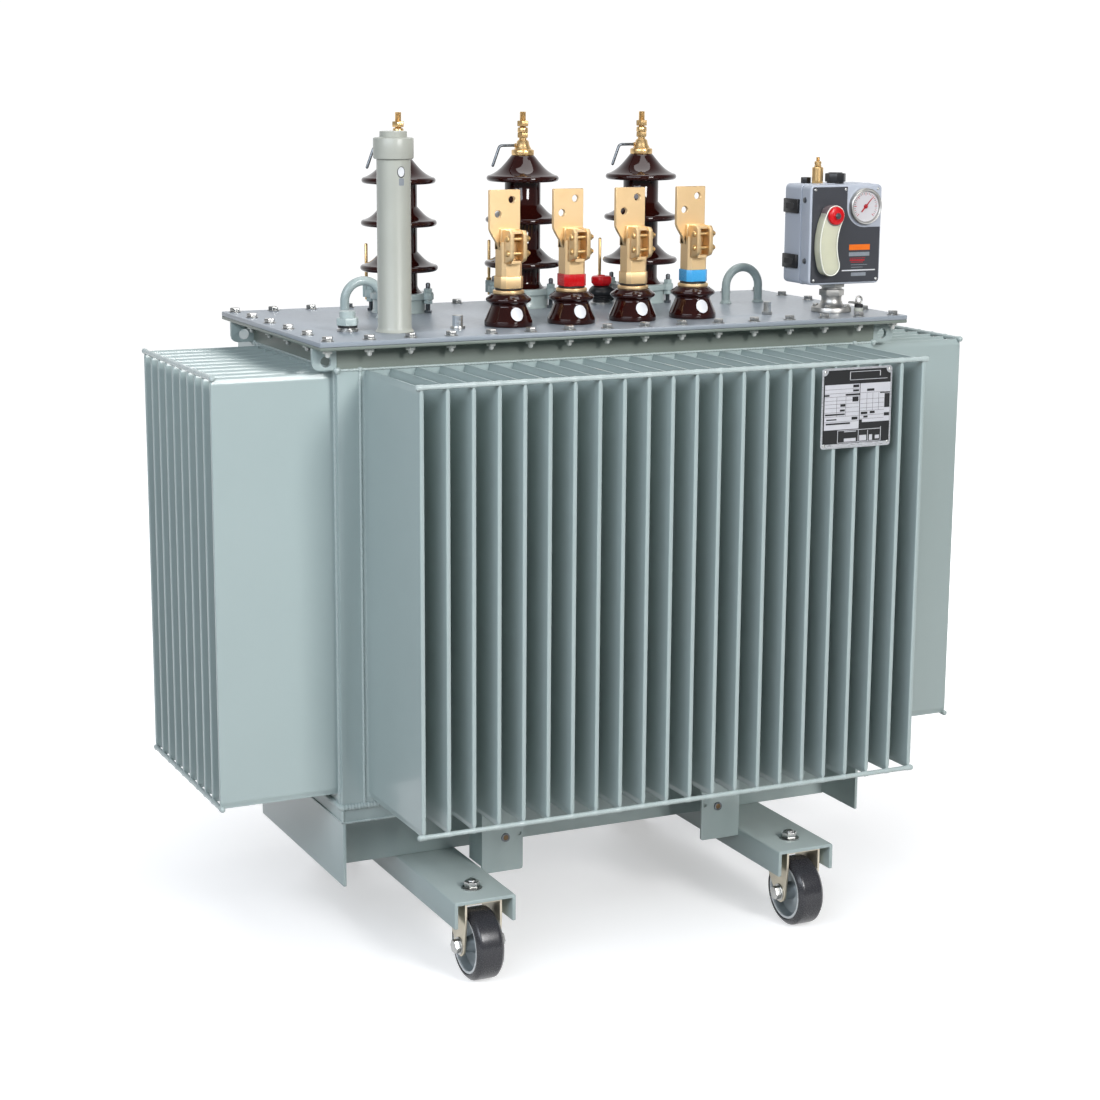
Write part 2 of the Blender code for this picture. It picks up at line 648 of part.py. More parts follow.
def build_tank():
    """Tank box with a shallow seat for each corrugated wall, and a lug at each corner."""
    half_x = TANK_LENGTH / 2
    half_y = TANK_DEPTH / 2
    tank = span_box("tank", (-half_x, -half_y, TANK_BOTTOM), (half_x, half_y, TANK_TOP))
    depth = 2 * (FIN_SHEET + GAP)
    for sign in (-1, 1):
        seat = box(f"wall_seat_y_{sign}",
                   (LONG_WALL_WIDTH + 2 * GAP, depth, LONG_FIN_HEIGHT + 2 * GAP),
                   (0, sign * half_y, FIN_MIDDLE))
        combine(tank, seat, "DIFFERENCE")
        seat = box(f"wall_seat_x_{sign}",
                   (depth, SHORT_WALL_WIDTH + 2 * GAP, SHORT_FIN_HEIGHT + 2 * GAP),
                   (sign * half_x, 0, FIN_MIDDLE))
        combine(tank, seat, "DIFFERENCE")
    top = FLANGE_BOTTOM - GAP
    low = top - LUG_HEIGHT
    shape = ([(-LUG_ROOT, top), (-LUG_ROOT, low)]
             + arc((LUG_REACH - LUG_CORNER, low + LUG_CORNER), LUG_CORNER, -90, 0, 3)
             + [(LUG_REACH, top)])
    for side_x in (-1, 1):
        loop = [(side_x * x, z) for x, z in shape]
        hole = circle((side_x * LUG_HOLE_OUT, top - LUG_HOLE_DOWN), LUG_HOLE_RADIUS, 12)
        for side_y in (-1, 1):
            middle = side_y * (half_y - LUG_INSET - LUG_PLATE / 2)
            lug = outline(f"lug_{side_x}_{side_y}", [loop, hole], LUG_PLATE,
                          (side_x * half_x, middle, 0), FACING_FRONT)
            combine(tank, lug, "UNION")
    dress(tank, "paint")


def build_flange_and_lid():
    """Flange frame round the tank top, and the lid plate on it with its two stud bosses."""
    outer = rounded_rectangle(LID_LENGTH, LID_DEPTH, LID_CORNER)
    x = TANK_LENGTH / 2 + GAP
    y = TANK_DEPTH / 2 + GAP
    inner = [(x, y), (-x, y), (-x, -y), (x, -y)]
    flange = outline("tank_flange", [outer, inner], FLANGE_THICKNESS,
                     (0, 0, FLANGE_BOTTOM + FLANGE_THICKNESS / 2))
    dress(flange, "paint")
    lid = outline("lid", [outer], LID_THICKNESS, (0, 0, LID_BOTTOM + LID_THICKNESS / 2))
    for place, stud_x, radius in zip(("left", "right"), STUD_XS, STUD_RADII):
        stud = cylinder(f"lid_stud_{place}", radius, STUD_HEIGHT + OVERLAP,
                        (stud_x, STUD_Y, LID_TOP - OVERLAP), 12)
        combine(lid, stud, "UNION")
    dress(lid, "lid_paint")


def comb(count, pitch, width, reach):
    """Outline of a corrugated wall: a thin back with round-nosed fins along +Y."""
    half = width / 2
    radius = FIN_THICKNESS / 2
    points = [(half, 0), (half, FIN_SHEET)]
    for i in reversed(range(count)):
        x = (i - (count - 1) / 2) * pitch
        points.append((x + radius, FIN_SHEET))
        points += arc((x, reach - radius), radius, 0, 180, FIN_TIP_STEPS)
        points.append((x - radius, FIN_SHEET))
    points += [(-half, FIN_SHEET), (-half, 0)]
    return points


def build_wall(place, comb_loop, reach, height, root, turn):
    """Corrugated wall with a round tie bar along the fin tips at top and bottom."""
    wall = outline(f"fin_wall_{place}", [comb_loop], height, (*root, FIN_MIDDLE), (0, 0, turn))
    width = comb_loop[0][0] - comb_loop[-1][0]
    length = width - 2 * FIN_MARGIN + 2 * TIE_BAR_OVERHANG
    out = reach - TIE_BAR_INSET
    for end, sign in (("bottom", -1), ("top", 1)):
        start = (root[0] - math.sin(turn) * out - math.cos(turn) * length / 2,
                 root[1] + math.cos(turn) * out - math.sin(turn) * length / 2,
                 FIN_MIDDLE + sign * height / 2)
        bar = cylinder(f"tie_bar_{place}_{end}", TIE_BAR_RADIUS, length, start, TIE_BAR_SIDES,
                       (0, math.pi / 2, turn))
        combine(wall, bar, "UNION")
    dress(wall, "paint")


def build_walls():
    """The four corrugated walls in their seats on the tank."""
    y = TANK_DEPTH / 2 - FIN_SHEET
    x = TANK_LENGTH / 2 - FIN_SHEET
    long_comb = comb(LONG_FIN_COUNT, LONG_FIN_PITCH, LONG_WALL_WIDTH, LONG_FIN_REACH)
    short_comb = comb(SHORT_FIN_COUNT, SHORT_FIN_PITCH, SHORT_WALL_WIDTH, SHORT_FIN_REACH)
    build_wall("front", long_comb, LONG_FIN_REACH, LONG_FIN_HEIGHT, (0, -y), math.pi)
    build_wall("rear", long_comb, LONG_FIN_REACH, LONG_FIN_HEIGHT, (0, y), 0)
    build_wall("left", short_comb, SHORT_FIN_REACH, SHORT_FIN_HEIGHT, (-x, 0), math.pi / 2)
    build_wall("right", short_comb, SHORT_FIN_REACH, SHORT_FIN_HEIGHT, (x, 0), -math.pi / 2)


def build_nameplate():
    """Blank rating plate on the tips of the front fins, under the top tie bar."""
    tip = TANK_DEPTH / 2 - FIN_SHEET + LONG_FIN_REACH
    top = FIN_MIDDLE + LONG_FIN_HEIGHT / 2 - TIE_BAR_RADIUS - PLATE_BELOW_BAR
    loop = rounded_rectangle(PLATE_WIDTH, PLATE_HEIGHT, PLATE_CORNER)
    plate = outline("nameplate", [loop], PLATE_THICKNESS,
                    (PLATE_X, -tip - GAP - PLATE_THICKNESS / 2, top - PLATE_HEIGHT / 2), FACING_FRONT)
    dress(plate, "plate")


def build_lifting_eyes():
    """Two bent-rod lifting eyes welded to the lid."""
    half = EYE_LEG_SPACING / 2
    spring = EYE_HEIGHT - EYE_ROD_RADIUS - half
    bow = arc((0, spring), half, 180, 0, 10)
    points = [(-half, 0, 0)] + [(x, 0, z) for x, z in bow] + [(half, 0, 0)]
    for place, x in zip(("left", "right"), EYE_XS):
        eye = tube(f"lifting_eye_{place}", points, EYE_ROD_RADIUS, (x, EYE_Y, SEAT))
        dress(eye, "paint")


def build_filler():
    """Filling pipe with its weld collar, and the screw cap on it."""
    pipe = turned("filler_pipe", [
        (0, FILLER_HEIGHT), (FILLER_RADIUS, FILLER_HEIGHT), (FILLER_RADIUS, FILLER_COLLAR_HEIGHT),
        (FILLER_COLLAR_RADIUS, 0), (0, 0)], 24, (FILLER_X, FILLER_Y, SEAT))
    dress(pipe, "paint")
    total = CAP_HEIGHT + CAP_TOP_HEIGHT
    cap = turned("filler_cap", [
        (0, total), (CAP_TOP_RADIUS, total), (CAP_TOP_RADIUS, CAP_HEIGHT),
        (CAP_RADIUS - CAP_CHAMFER, CAP_HEIGHT), (CAP_RADIUS, CAP_HEIGHT - CAP_CHAMFER),
        (CAP_RADIUS, CAP_CHAMFER), (CAP_RADIUS - CAP_CHAMFER, 0), (0, 0)], 24,
        (FILLER_X, FILLER_Y, SEAT + FILLER_HEIGHT + GAP))
    dress(cap, "paint")


def build_pocket():
    """Capped thermometer pocket near the left end of the lid."""
    dress(turned("thermometer_pocket", POCKET_PROFILE, 16, (POCKET_X, POCKET_Y, SEAT)), "paint")


def shed(rim_radius, rim_z, top_radius, slope):
    """Points of one shed, from the neck above it down its hollow slope and round its rim."""
    low = rim_z - HV_SHED_RIM / 2
    high = rim_z + HV_SHED_RIM / 2
    nose = rim_radius - HV_SHED_NOSE
    points = []
    for share in (0.0, 0.35, 1.0):
        points.append((top_radius + (nose - top_radius) * share,
                       high + slope * (1 - share) ** HV_SHED_CURVE))
    points += [(rim_radius, rim_z), (nose, low), (HV_NECK_RADIUS, low + OVERLAP)]
    return points


def build_hv_porcelain(number, x):
    """Brown porcelain with three sheds on a flared foot."""
    base = HV_TURRET_HEIGHT + HV_RING_HEIGHT + GAP
    profile = [(0, HV_BODY_TOP)]
    for rim_radius, rim_z in reversed(list(zip(HV_SHED_RADII, HV_SHED_HEIGHTS))):
        is_top = rim_z == HV_SHED_HEIGHTS[-1]
        slope = HV_BODY_TOP - rim_z - HV_SHED_RIM / 2 if is_top else HV_SHED_SLOPE
        profile += shed(rim_radius, rim_z, HV_TOP_RADIUS if is_top else HV_NECK_RADIUS, slope)
    profile += [(HV_NECK_RADIUS, base + HV_FOOT_HEIGHT), (HV_FOOT_RADIUS, base), (0, base)]
    dress(turned(f"hv_porcelain_{number}", profile, HV_STEPS, (x, HV_Y, SEAT)), "porcelain")


def lobed_ring():
    """Closed loop of the clamp ring: a circle with four bolt lobes on its diagonals."""
    ring = HV_RING_RADIUS
    circle_radius = HV_LOBE_CIRCLE
    cosine = (ring ** 2 + circle_radius ** 2 - HV_LOBE_RADIUS ** 2) / (2 * ring * circle_radius)
    meet = math.acos(cosine)
    spread = math.degrees(math.atan2(ring * math.sin(meet), ring * cosine - circle_radius))
    half_lobe = math.degrees(meet)
    points = []
    for angle in (45, 135, 225, 315):
        turn = math.radians(angle)
        centre = (circle_radius * math.cos(turn), circle_radius * math.sin(turn))
        points += arc(centre, HV_LOBE_RADIUS, angle - spread, angle + spread, 5)
        points += arc((0, 0), ring, angle + half_lobe, angle + 90 - half_lobe, 4)[1:-1]
    return points


def build_hv_mount(number, x, arm_angle):
    """Turret and lobed clamp ring that hold the porcelain, with the lower horn rod on its arm."""
    top = HV_TURRET_HEIGHT + HV_RING_HEIGHT
    mount = outline(f"hv_mount_{number}", [lobed_ring()], HV_RING_HEIGHT,
                    (x, HV_Y, SEAT + top - HV_RING_HEIGHT / 2))
    turret = cylinder(f"hv_turret_{number}", HV_TURRET_RADIUS, HV_TURRET_HEIGHT + OVERLAP,
                      (x, HV_Y, SEAT), HV_STEPS)
    combine(mount, turret, "UNION")
    turn = math.radians(arm_angle)
    arm_end = HV_ROD_CIRCLE + 2 * HV_ROD_RADIUS
    arm_middle = (HV_ARM_ROOT + arm_end) / 2
    arm = box(f"hv_arm_{number}", (arm_end - HV_ARM_ROOT, HV_ARM_WIDTH, HV_ARM_THICKNESS),
              (x + arm_middle * math.cos(turn), HV_Y + arm_middle * math.sin(turn),
               SEAT + top - HV_ARM_THICKNESS), (0, 0, turn))
    combine(mount, arm, "UNION")
    rod_low = top - HV_ROD_BELOW_ARM
    rod = cylinder(f"hv_rod_{number}", HV_ROD_RADIUS, HV_ROD_TOP - rod_low,
                   (x + HV_ROD_CIRCLE * math.cos(turn), HV_Y + HV_ROD_CIRCLE * math.sin(turn),
                    SEAT + rod_low), 6)
    combine(mount, rod, "UNION")
    dress(mount, "paint")


def build_hv_terminal(number, x):
    """Brass cap, nuts and stud, with the bent upper horn."""
    base = SEAT + HV_BODY_TOP + GAP
    terminal = turned(f"hv_terminal_{number}", HV_TERMINAL_PROFILE, 12, (x, HV_Y, base))
    horn = tube(f"hv_horn_{number}", [(out, 0, z) for out, z in HV_HORN_PATH], HV_HORN_RADIUS,
                (x, HV_Y, base), 1)
    combine(terminal, horn, "UNION")
    dress(terminal, "brass")


def build_lv_porcelain(number, x):
    """Brown porcelain: a cone on a base band, and a bead under the terminal."""
    profile = [
        (0, LV_BODY_HEIGHT), (LV_RING_RADIUS, LV_BODY_HEIGHT),
        (LV_SHOULDER_RADIUS, LV_BODY_HEIGHT - LV_BEAD_RIM),
        (LV_BEAD_RADIUS, LV_BEAD_HEIGHT + LV_BEAD_RIM / 2),
        (LV_BEAD_RADIUS, LV_BEAD_HEIGHT - LV_BEAD_RIM / 2),
        (LV_NECK_RADIUS + LV_BEAD_RIM / 2, LV_NECK_HEIGHT + LV_BEAD_RIM),
        (LV_NECK_RADIUS, LV_NECK_HEIGHT), (LV_BASE_RADIUS, LV_BASE_HEIGHT), (LV_BASE_RADIUS, 0),
        (0, 0)]
    dress(turned(f"lv_porcelain_{number}", profile, LV_STEPS, (x, LV_Y, SEAT)), "porcelain")


def build_lv_terminal(number, x):
    """Seal ring, square nut and shank, split clamp with two ears, and the drilled palm."""
    ring = SEAT + LV_BODY_HEIGHT + GAP
    seal = ring + LV_RING_HEIGHT
    nut_low = seal + LV_SEAL_HEIGHT
    nut_high = nut_low + LV_NUT_HEIGHT
    clamp_low = nut_high + LV_CLAMP_LIFT
    clamp_high = clamp_low + LV_CLAMP_HEIGHT
    terminal = turned(f"lv_terminal_{number}", [
        (0, nut_low + OVERLAP - ring), (LV_SEAL_RADIUS, nut_low + OVERLAP - ring),
        (LV_SEAL_RADIUS, seal - ring), (LV_RING_RADIUS, seal - ring), (LV_RING_RADIUS, 0), (0, 0)],
        LV_STEPS, (x, LV_Y, ring))
    nut = outline(f"lv_nut_{number}", [chamfered_square(LV_NUT_SIZE, LV_NUT_CHAMFER)], LV_NUT_HEIGHT,
                  (x, LV_Y, (nut_low + nut_high) / 2))
    combine(terminal, nut, "UNION")
    shank_low = nut_high - OVERLAP
    shank = outline(f"lv_shank_{number}", [chamfered_square(LV_SHANK_SIZE, LV_SHANK_CHAMFER)],
                    clamp_high - shank_low, (x, LV_Y, (shank_low + clamp_high) / 2))
    combine(terminal, shank, "UNION")
    combine(terminal, lv_ears(number, x, clamp_low, clamp_high), "UNION")
    slot_low = clamp_low - LV_CLAMP_ROOF
    slot_high = clamp_high - LV_CLAMP_ROOF
    slot_width = LV_CLAMP_WIDTH - 2 * LV_EAR_THICKNESS
    slot = box(f"lv_slot_{number}", (slot_width, 2 * LV_SLOT_DEPTH, slot_high - slot_low),
               (x, LV_Y - LV_CLAMP_REACH, (slot_low + slot_high) / 2))
    combine(terminal, slot, "DIFFERENCE")
    combine(terminal, lv_palm(number, x, clamp_high), "UNION")
    dress(terminal, "brass")


def lv_ears(number, x, clamp_low, clamp_high):
    """Block of the two clamp ears before they are slotted, with cut front corners."""
    root = LV_SHANK_SIZE / 2 - LV_SHANK_CHAMFER / 2
    low = clamp_low
    high = clamp_high - OVERLAP
    front = LV_CLAMP_REACH
    loop = [(-root, high), (LV_EAR_TOP_CHAMFER - front, high), (-front, high - LV_EAR_TOP_CHAMFER),
            (-front, low + LV_EAR_LOW_CHAMFER), (LV_EAR_LOW_CHAMFER - front, low), (-root, low)]
    return outline(f"lv_ears_{number}", [loop], LV_CLAMP_WIDTH, (x, LV_Y, 0), FACING_SIDE)


def lv_palm(number, x, foot):
    """Drilled palm whose left edge sweeps in to the shank below it."""
    left = LV_PALM_OFFSET - LV_PALM_WIDTH / 2
    right = LV_PALM_OFFSET + LV_PALM_WIDTH / 2
    high = foot + LV_PALM_HEIGHT
    root = OVERLAP - LV_SHANK_SIZE / 2
    sweep = []
    for step in range(4):
        turn = math.radians(30 * step)
        sweep.append((left + (root - left) * math.sin(turn), foot - LV_PALM_SWEEP * (1 - math.cos(turn))))
    loop = [(left, high)] + sweep + [(-root, foot - LV_PALM_SWEEP), (right, foot), (right, high)]
    holes = [
        circle((right - LV_PALM_HOLE_INSET, high - LV_PALM_HOLE_DOWN[0]), LV_PALM_HOLE_RADIUS, 10),
        circle((left + LV_PALM_HOLE_INSET, high - LV_PALM_HOLE_DOWN[1]), LV_PALM_HOLE_RADIUS, 10)]
    return outline(f"lv_palm_{number}", [loop] + holes, LV_PALM_THICKNESS, (x, LV_Y, 0), FACING_FRONT)


def build_tap_changer():
    """Tap changer: black ribbed base, and the lobed red hand knob that turns on it."""
    dress(turned("tap_changer_base", TAP_BASE_PROFILE, 20, (TAP_X, TAP_Y, SEAT)), "black")
    loop = []
    for i in range(2 * TAP_KNOB_LOBES):
        turn = math.pi * i / TAP_KNOB_LOBES
        radius = TAP_KNOB_RADIUS - TAP_KNOB_DIP * (i % 2)
        loop.append((radius * math.cos(turn), radius * math.sin(turn)))
    foot = SEAT + TAP_BASE_HEIGHT + TAP_KNOB_LIFT
    knob = outline("tap_changer_knob", [loop], TAP_KNOB_HEIGHT,
                   (TAP_X, TAP_Y, foot + TAP_KNOB_HEIGHT / 2))
    dress(knob, "red")


def build_relay_housing():
    """Box on its stand, with the seam of its front cover and two clips on each side."""
    stand = turned("relay_stand", RELAY_STAND_PROFILE, 20, (RELAY_X + RELAY_STAND_OFFSET, RELAY_Y, SEAT))
    dress(stand, "steel")
    middle = (RELAY_BOTTOM + RELAY_TOP) / 2
    housing = box("relay_housing", (RELAY_WIDTH, RELAY_DEPTH, RELAY_HEIGHT), (RELAY_X, RELAY_Y, middle))
    bevel(housing, RELAY_CORNER, 2)
    outer = rounded_rectangle(RELAY_WIDTH + RELAY_CORNER, RELAY_HEIGHT + RELAY_CORNER, RELAY_CORNER, 1)
    inner = rounded_rectangle(RELAY_WIDTH - 2 * RELAY_SEAM, RELAY_HEIGHT - 2 * RELAY_SEAM,
                              RELAY_CORNER, 2)
    seam = outline("relay_seam", [outer, inner], RELAY_SEAM,
                   (RELAY_X, RELAY_FACE + RELAY_COVER_DEPTH, middle), FACING_FRONT)
    combine(housing, seam, "DIFFERENCE")
    clip_y = RELAY_Y + RELAY_DEPTH / 2 - RELAY_CORNER - CLIP_LENGTH / 2
    for side_x in (-1, 1):
        for level, drop in enumerate(CLIP_LEVELS):
            clip = box(f"relay_clip_{side_x}_{level}", (2 * CLIP_PROUD, CLIP_LENGTH, CLIP_HEIGHT),
                       (RELAY_X + side_x * RELAY_WIDTH / 2, clip_y, RELAY_TOP - drop))
            combine(housing, clip, "UNION")
    dress(housing, "housing")


def build_relay_front():
    """Black panel cut away round the gauge, the gauge, the float window and its test knob."""
    gauge_x = RELAY_X + RELAY_WIDTH / 2 - GAUGE_FROM_RIGHT
    gauge_z = RELAY_TOP - GAUGE_FROM_TOP
    left = RELAY_X - RELAY_WIDTH / 2 + PANEL_MARGIN
    right = RELAY_X + RELAY_WIDTH / 2 - PANEL_MARGIN
    low = RELAY_BOTTOM + PANEL_MARGIN
    high = RELAY_TOP - PANEL_MARGIN
    cut = GAUGE_RADIUS + GAUGE_CLEARANCE
    loop = (arc((left + PANEL_CORNER, low + PANEL_CORNER), PANEL_CORNER, 180, 270, 1)
            + arc((right - PANEL_CORNER, low + PANEL_CORNER), PANEL_CORNER, 270, 360, 1)
            + [(right, gauge_z - cut)] + arc((gauge_x, gauge_z), cut, 270, 180, 6)
            + [(gauge_x - cut, high)])
    loop += arc((left + PANEL_CORNER, high - PANEL_CORNER), PANEL_CORNER, 90, 180, 1)
    panel = outline("relay_panel", [loop], PANEL_THICKNESS,
                    (0, RELAY_FACE - GAP - PANEL_THICKNESS / 2, 0), FACING_FRONT)
    dress(panel, "black")
    gauge = turned("relay_gauge", [
        (0, GAUGE_HEIGHT), (GAUGE_RADIUS - GAUGE_CHAMFER, GAUGE_HEIGHT),
        (GAUGE_RADIUS, GAUGE_HEIGHT - GAUGE_CHAMFER), (GAUGE_RADIUS, 0), (0, 0)], 24,
        (gauge_x, RELAY_FACE - GAP, gauge_z), FACING_FRONT)
    dress(gauge, "dial")
    knob_x = gauge_x - KNOB_TO_GAUGE
    knob_z = RELAY_TOP - KNOB_FROM_TOP
    panel_front = RELAY_FACE - PANEL_THICKNESS - 2 * GAP
    window = outline("relay_float_window", [float_window_loop(knob_x, knob_z)], WINDOW_DEPTH,
                     (0, panel_front - WINDOW_DEPTH / 2, 0), FACING_FRONT)
    dress(window, "clear")
    total = KNOB_HEIGHT + KNOB_BUTTON_HEIGHT
    knob = turned("relay_test_knob", [
        (0, total), (KNOB_BUTTON_RADIUS, total), (KNOB_BUTTON_RADIUS, KNOB_HEIGHT),
        (KNOB_RADIUS, KNOB_HEIGHT), (KNOB_RADIUS, 0), (0, 0)], 20,
        (knob_x, panel_front - WINDOW_DEPTH - GAP, knob_z), FACING_FRONT)
    dress(knob, "red")


def float_window_loop(top_x, top_z):
    """Bean-shaped loop of the float window, bowed to the left below its top centre."""
    start = math.radians(WINDOW_ARC_START)
    end = math.radians(WINDOW_ARC_END)
    centre = (top_x - WINDOW_ARC_RADIUS * math.cos(start), top_z - WINDOW_ARC_RADIUS * math.sin(start))
    low = (centre[0] + WINDOW_ARC_RADIUS * math.cos(end), centre[1] + WINDOW_ARC_RADIUS * math.sin(end))
    half = WINDOW_HALF_WIDTH
    left = arc(centre, WINDOW_ARC_RADIUS + half, WINDOW_ARC_START, WINDOW_ARC_END, 6)
    bottom = arc(low, half, WINDOW_ARC_END, WINDOW_ARC_END + 180, 6)[1:-1]
    right = arc(centre, WINDOW_ARC_RADIUS - half, WINDOW_ARC_END, WINDOW_ARC_START, 6)
    top = arc((top_x, top_z), half, WINDOW_ARC_START - 180, WINDOW_ARC_START, 6)[1:-1]
    return left + bottom + right + top


def build_relay_top():
    """Brass bleed valve and black cable plug on top of the box."""
    seat = RELAY_TOP + GAP
    valve = turned("relay_bleed_valve", BLEED_VALVE_PROFILE, 12,
                   (RELAY_X + BLEED_VALVE_OFFSET, RELAY_Y, seat))
    dress(valve, "brass")
    plug = cylinder("relay_cable_plug", CABLE_PLUG_RADIUS, CABLE_PLUG_HEIGHT,
                    (RELAY_X + CABLE_PLUG_OFFSET, RELAY_Y, seat), 8)
    dress(plug, "black")


def build_all():
    """Build every piece of the transformer."""
    corners = (("front_left", -1, -1), ("front_right", 1, -1), ("rear_left", -1, 1),
               ("rear_right", 1, 1))
    for place, side_x, side_y in corners:
        build_wheel(place, side_x, side_y)
        build_fork(place, side_x, side_y)
        build_bracket(place, side_x, side_y)
    build_channel("left", -1)
    build_channel("right", 1)
    build_frame()
    build_tank()
    build_flange_and_lid()
    build_walls()
    build_nameplate()
    build_lifting_eyes()
    build_filler()
    build_pocket()
    for index, (x, arm_angle) in enumerate(zip(HV_XS, HV_ARM_ANGLES)):
        build_hv_mount(index + 1, x, arm_angle)
        build_hv_porcelain(index + 1, x)
        build_hv_terminal(index + 1, x)
    for index, x in enumerate(LV_XS):
        build_lv_porcelain(index + 1, x)
        build_lv_terminal(index + 1, x)
    build_tap_changer()
    build_relay_housing()
    build_relay_front()
    build_relay_top()


build_all()
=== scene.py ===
"""Looks of the oil-filled power transformer: its pieces, finishes, studio and camera.

Lengths are in metres in the frame of the CAD model: +X along the long front, -Y towards the
viewer, +Z up. A piece that stands for a CAD node takes its place from that node's box.
"""

import logging
import math
from dataclasses import dataclass, field
from enum import Enum

import bmesh
import bpy
import numpy as np
from bpy.types import Material, Mesh, Node, NodeSocket, NodeTree, Object
from mathutils import Matrix, Vector
from mathutils.geometry import tessellate_polygon


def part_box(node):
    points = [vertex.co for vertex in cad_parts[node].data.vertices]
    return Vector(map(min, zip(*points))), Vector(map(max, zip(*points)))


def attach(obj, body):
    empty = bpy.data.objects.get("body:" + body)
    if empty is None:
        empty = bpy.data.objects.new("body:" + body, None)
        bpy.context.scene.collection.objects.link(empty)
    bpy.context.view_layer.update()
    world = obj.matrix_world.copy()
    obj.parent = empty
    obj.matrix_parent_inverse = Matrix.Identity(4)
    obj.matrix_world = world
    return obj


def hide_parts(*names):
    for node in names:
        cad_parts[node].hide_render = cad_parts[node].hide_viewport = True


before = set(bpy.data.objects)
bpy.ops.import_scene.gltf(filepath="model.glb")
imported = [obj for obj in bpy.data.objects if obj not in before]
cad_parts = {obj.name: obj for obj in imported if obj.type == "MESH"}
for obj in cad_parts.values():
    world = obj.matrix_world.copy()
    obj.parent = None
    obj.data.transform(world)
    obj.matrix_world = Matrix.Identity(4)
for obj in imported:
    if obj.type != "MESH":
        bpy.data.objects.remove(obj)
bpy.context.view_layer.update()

LOG = logging.getLogger("transformer")
BODY = "transformer"
SIN_45 = math.sqrt(0.5)
LID_THICKNESS = 0.008
Point = tuple[float, float, float]


class Facing(Enum):
    """Way that a shape's own Z axis points; the columns are its X, Y and Z axes."""

    UP = ((1, 0, 0), (0, 1, 0), (0, 0, 1))
    DOWN = ((1, 0, 0), (0, -1, 0), (0, 0, -1))
    FRONT = ((1, 0, 0), (0, 0, -1), (0, 1, 0))
    REAR = ((-1, 0, 0), (0, 0, 1), (0, 1, 0))
    LEFT = ((0, 0, -1), (-1, 0, 0), (0, 1, 0))
    RIGHT = ((0, 0, 1), (1, 0, 0), (0, 1, 0))


class Slot(Enum):
    """Material slots of the record."""

    PAINT = "tank_paint"
    LID = "lid_paint"
    PORCELAIN = "porcelain"
    BRASS = "brass"
    ZINC = "zinc_steel"
    RIM = "cast_rim"
    TYRE = "tyre"
    BLACK = "black_plastic"
    RED = "red_plastic"
    STAINLESS = "stainless"
    RELAY = "relay_grey"
    GAUGE = "gauge_white"
    CLEAR = "clear_plastic"
    PLATE = "plate_metal"


@dataclass
class Form:
    """Growing shape: its points, and its faces in blocks that each hold one kind of face."""

    points: np.ndarray = field(default_factory=lambda: np.zeros((0, 3)))
    blocks: list[np.ndarray] = field(default_factory=list)

    def add(self, points: np.ndarray, blocks: list[np.ndarray]) -> "Form":
        """Append points and faces that count from the first of those points.

        Args:
            points: Array of points, in any shape that ends in 3.
            blocks: Arrays of face corners, one row a face.

        Returns:
            The form itself.
        """
        start = len(self.points)
        self.points = np.vstack([self.points, np.reshape(points, (-1, 3))])
        self.blocks += [np.asarray(block) + start for block in blocks if len(block)]
        return self

    def join(self, *others: "Form") -> "Form":
        """Append other forms and return this one."""
        for other in others:
            self.add(other.points, other.blocks)
        return self

    def placed(self, origin: Point = (0, 0, 0), facing: Facing = Facing.UP,
               spin: float = 0.0) -> "Form":
        """Copy of the form, turned and moved.

        Args:
            origin: Where the form's own origin goes.
            facing: Way that its Z axis points.
            spin: Turn about its own Z axis first, in degrees.

        Returns:
            The placed copy.
        """
        turn = math.radians(spin)
        spun = np.array([[math.cos(turn), -math.sin(turn), 0],
                         [math.sin(turn), math.cos(turn), 0], [0, 0, 1]])
        matrix = np.array(facing.value, float) @ spun
        return Form(self.points @ matrix.T + np.array(origin, float), list(self.blocks))

    def repeated(self, offsets: np.ndarray) -> "Form":
        """Copies of the form, moved by each of the offsets.

        Args:
            offsets: Array of offsets, one row a copy.

        Returns:
            All copies as one form.
        """
        moves = np.asarray(offsets, float)
        points = self.points[None] + moves[:, None]
        shifts = (np.arange(len(moves)) * len(self.points))[:, None, None]
        blocks = [(block[None] + shifts).reshape(-1, block.shape[1]) for block in self.blocks]
        return Form(points.reshape(-1, 3), blocks)


def grid(points: np.ndarray) -> Form:
    """Quads between neighbouring points of a grid whose last column joins its first.

    Args:
        points: Array of rows by columns by 3.

    Returns:
        The surface.
    """
    rows, columns = points.shape[:2]
    index = np.arange(rows * columns).reshape(rows, columns)
    index = np.hstack([index, index[:, :1]])
    quads = np.stack([index[:-1, :-1], index[:-1, 1:], index[1:, 1:], index[1:, :-1]], axis=-1)
    return Form().add(points, [quads.reshape(-1, 4)])


def turned(profile: list[tuple[float, float]] | np.ndarray, segments: int = 64) -> Form:
    """Solid of revolution: each (radius, height) goes to (r cos a, r sin a, h) for all angles a.

    Args:
        profile: Points from the top down. Open ends are closed flat to the axis, and a profile
            that ends where it starts gives a ring.
        segments: Steps round the axis.

    Returns:
        The turned surface.
    """
    shape = np.asarray(profile, float)
    if not np.array_equal(shape[0], shape[-1]):
        shape = np.vstack([shape[:1] * (0, 1), shape, shape[-1:] * (0, 1)])
    angle = np.linspace(0, 2 * math.pi, segments, endpoint=False)
    radius = shape[:, :1]
    points = np.stack([radius * np.cos(angle), radius * np.sin(angle),
                       np.broadcast_to(shape[:, 1:], (len(shape), segments))], axis=-1)
    return grid(points)


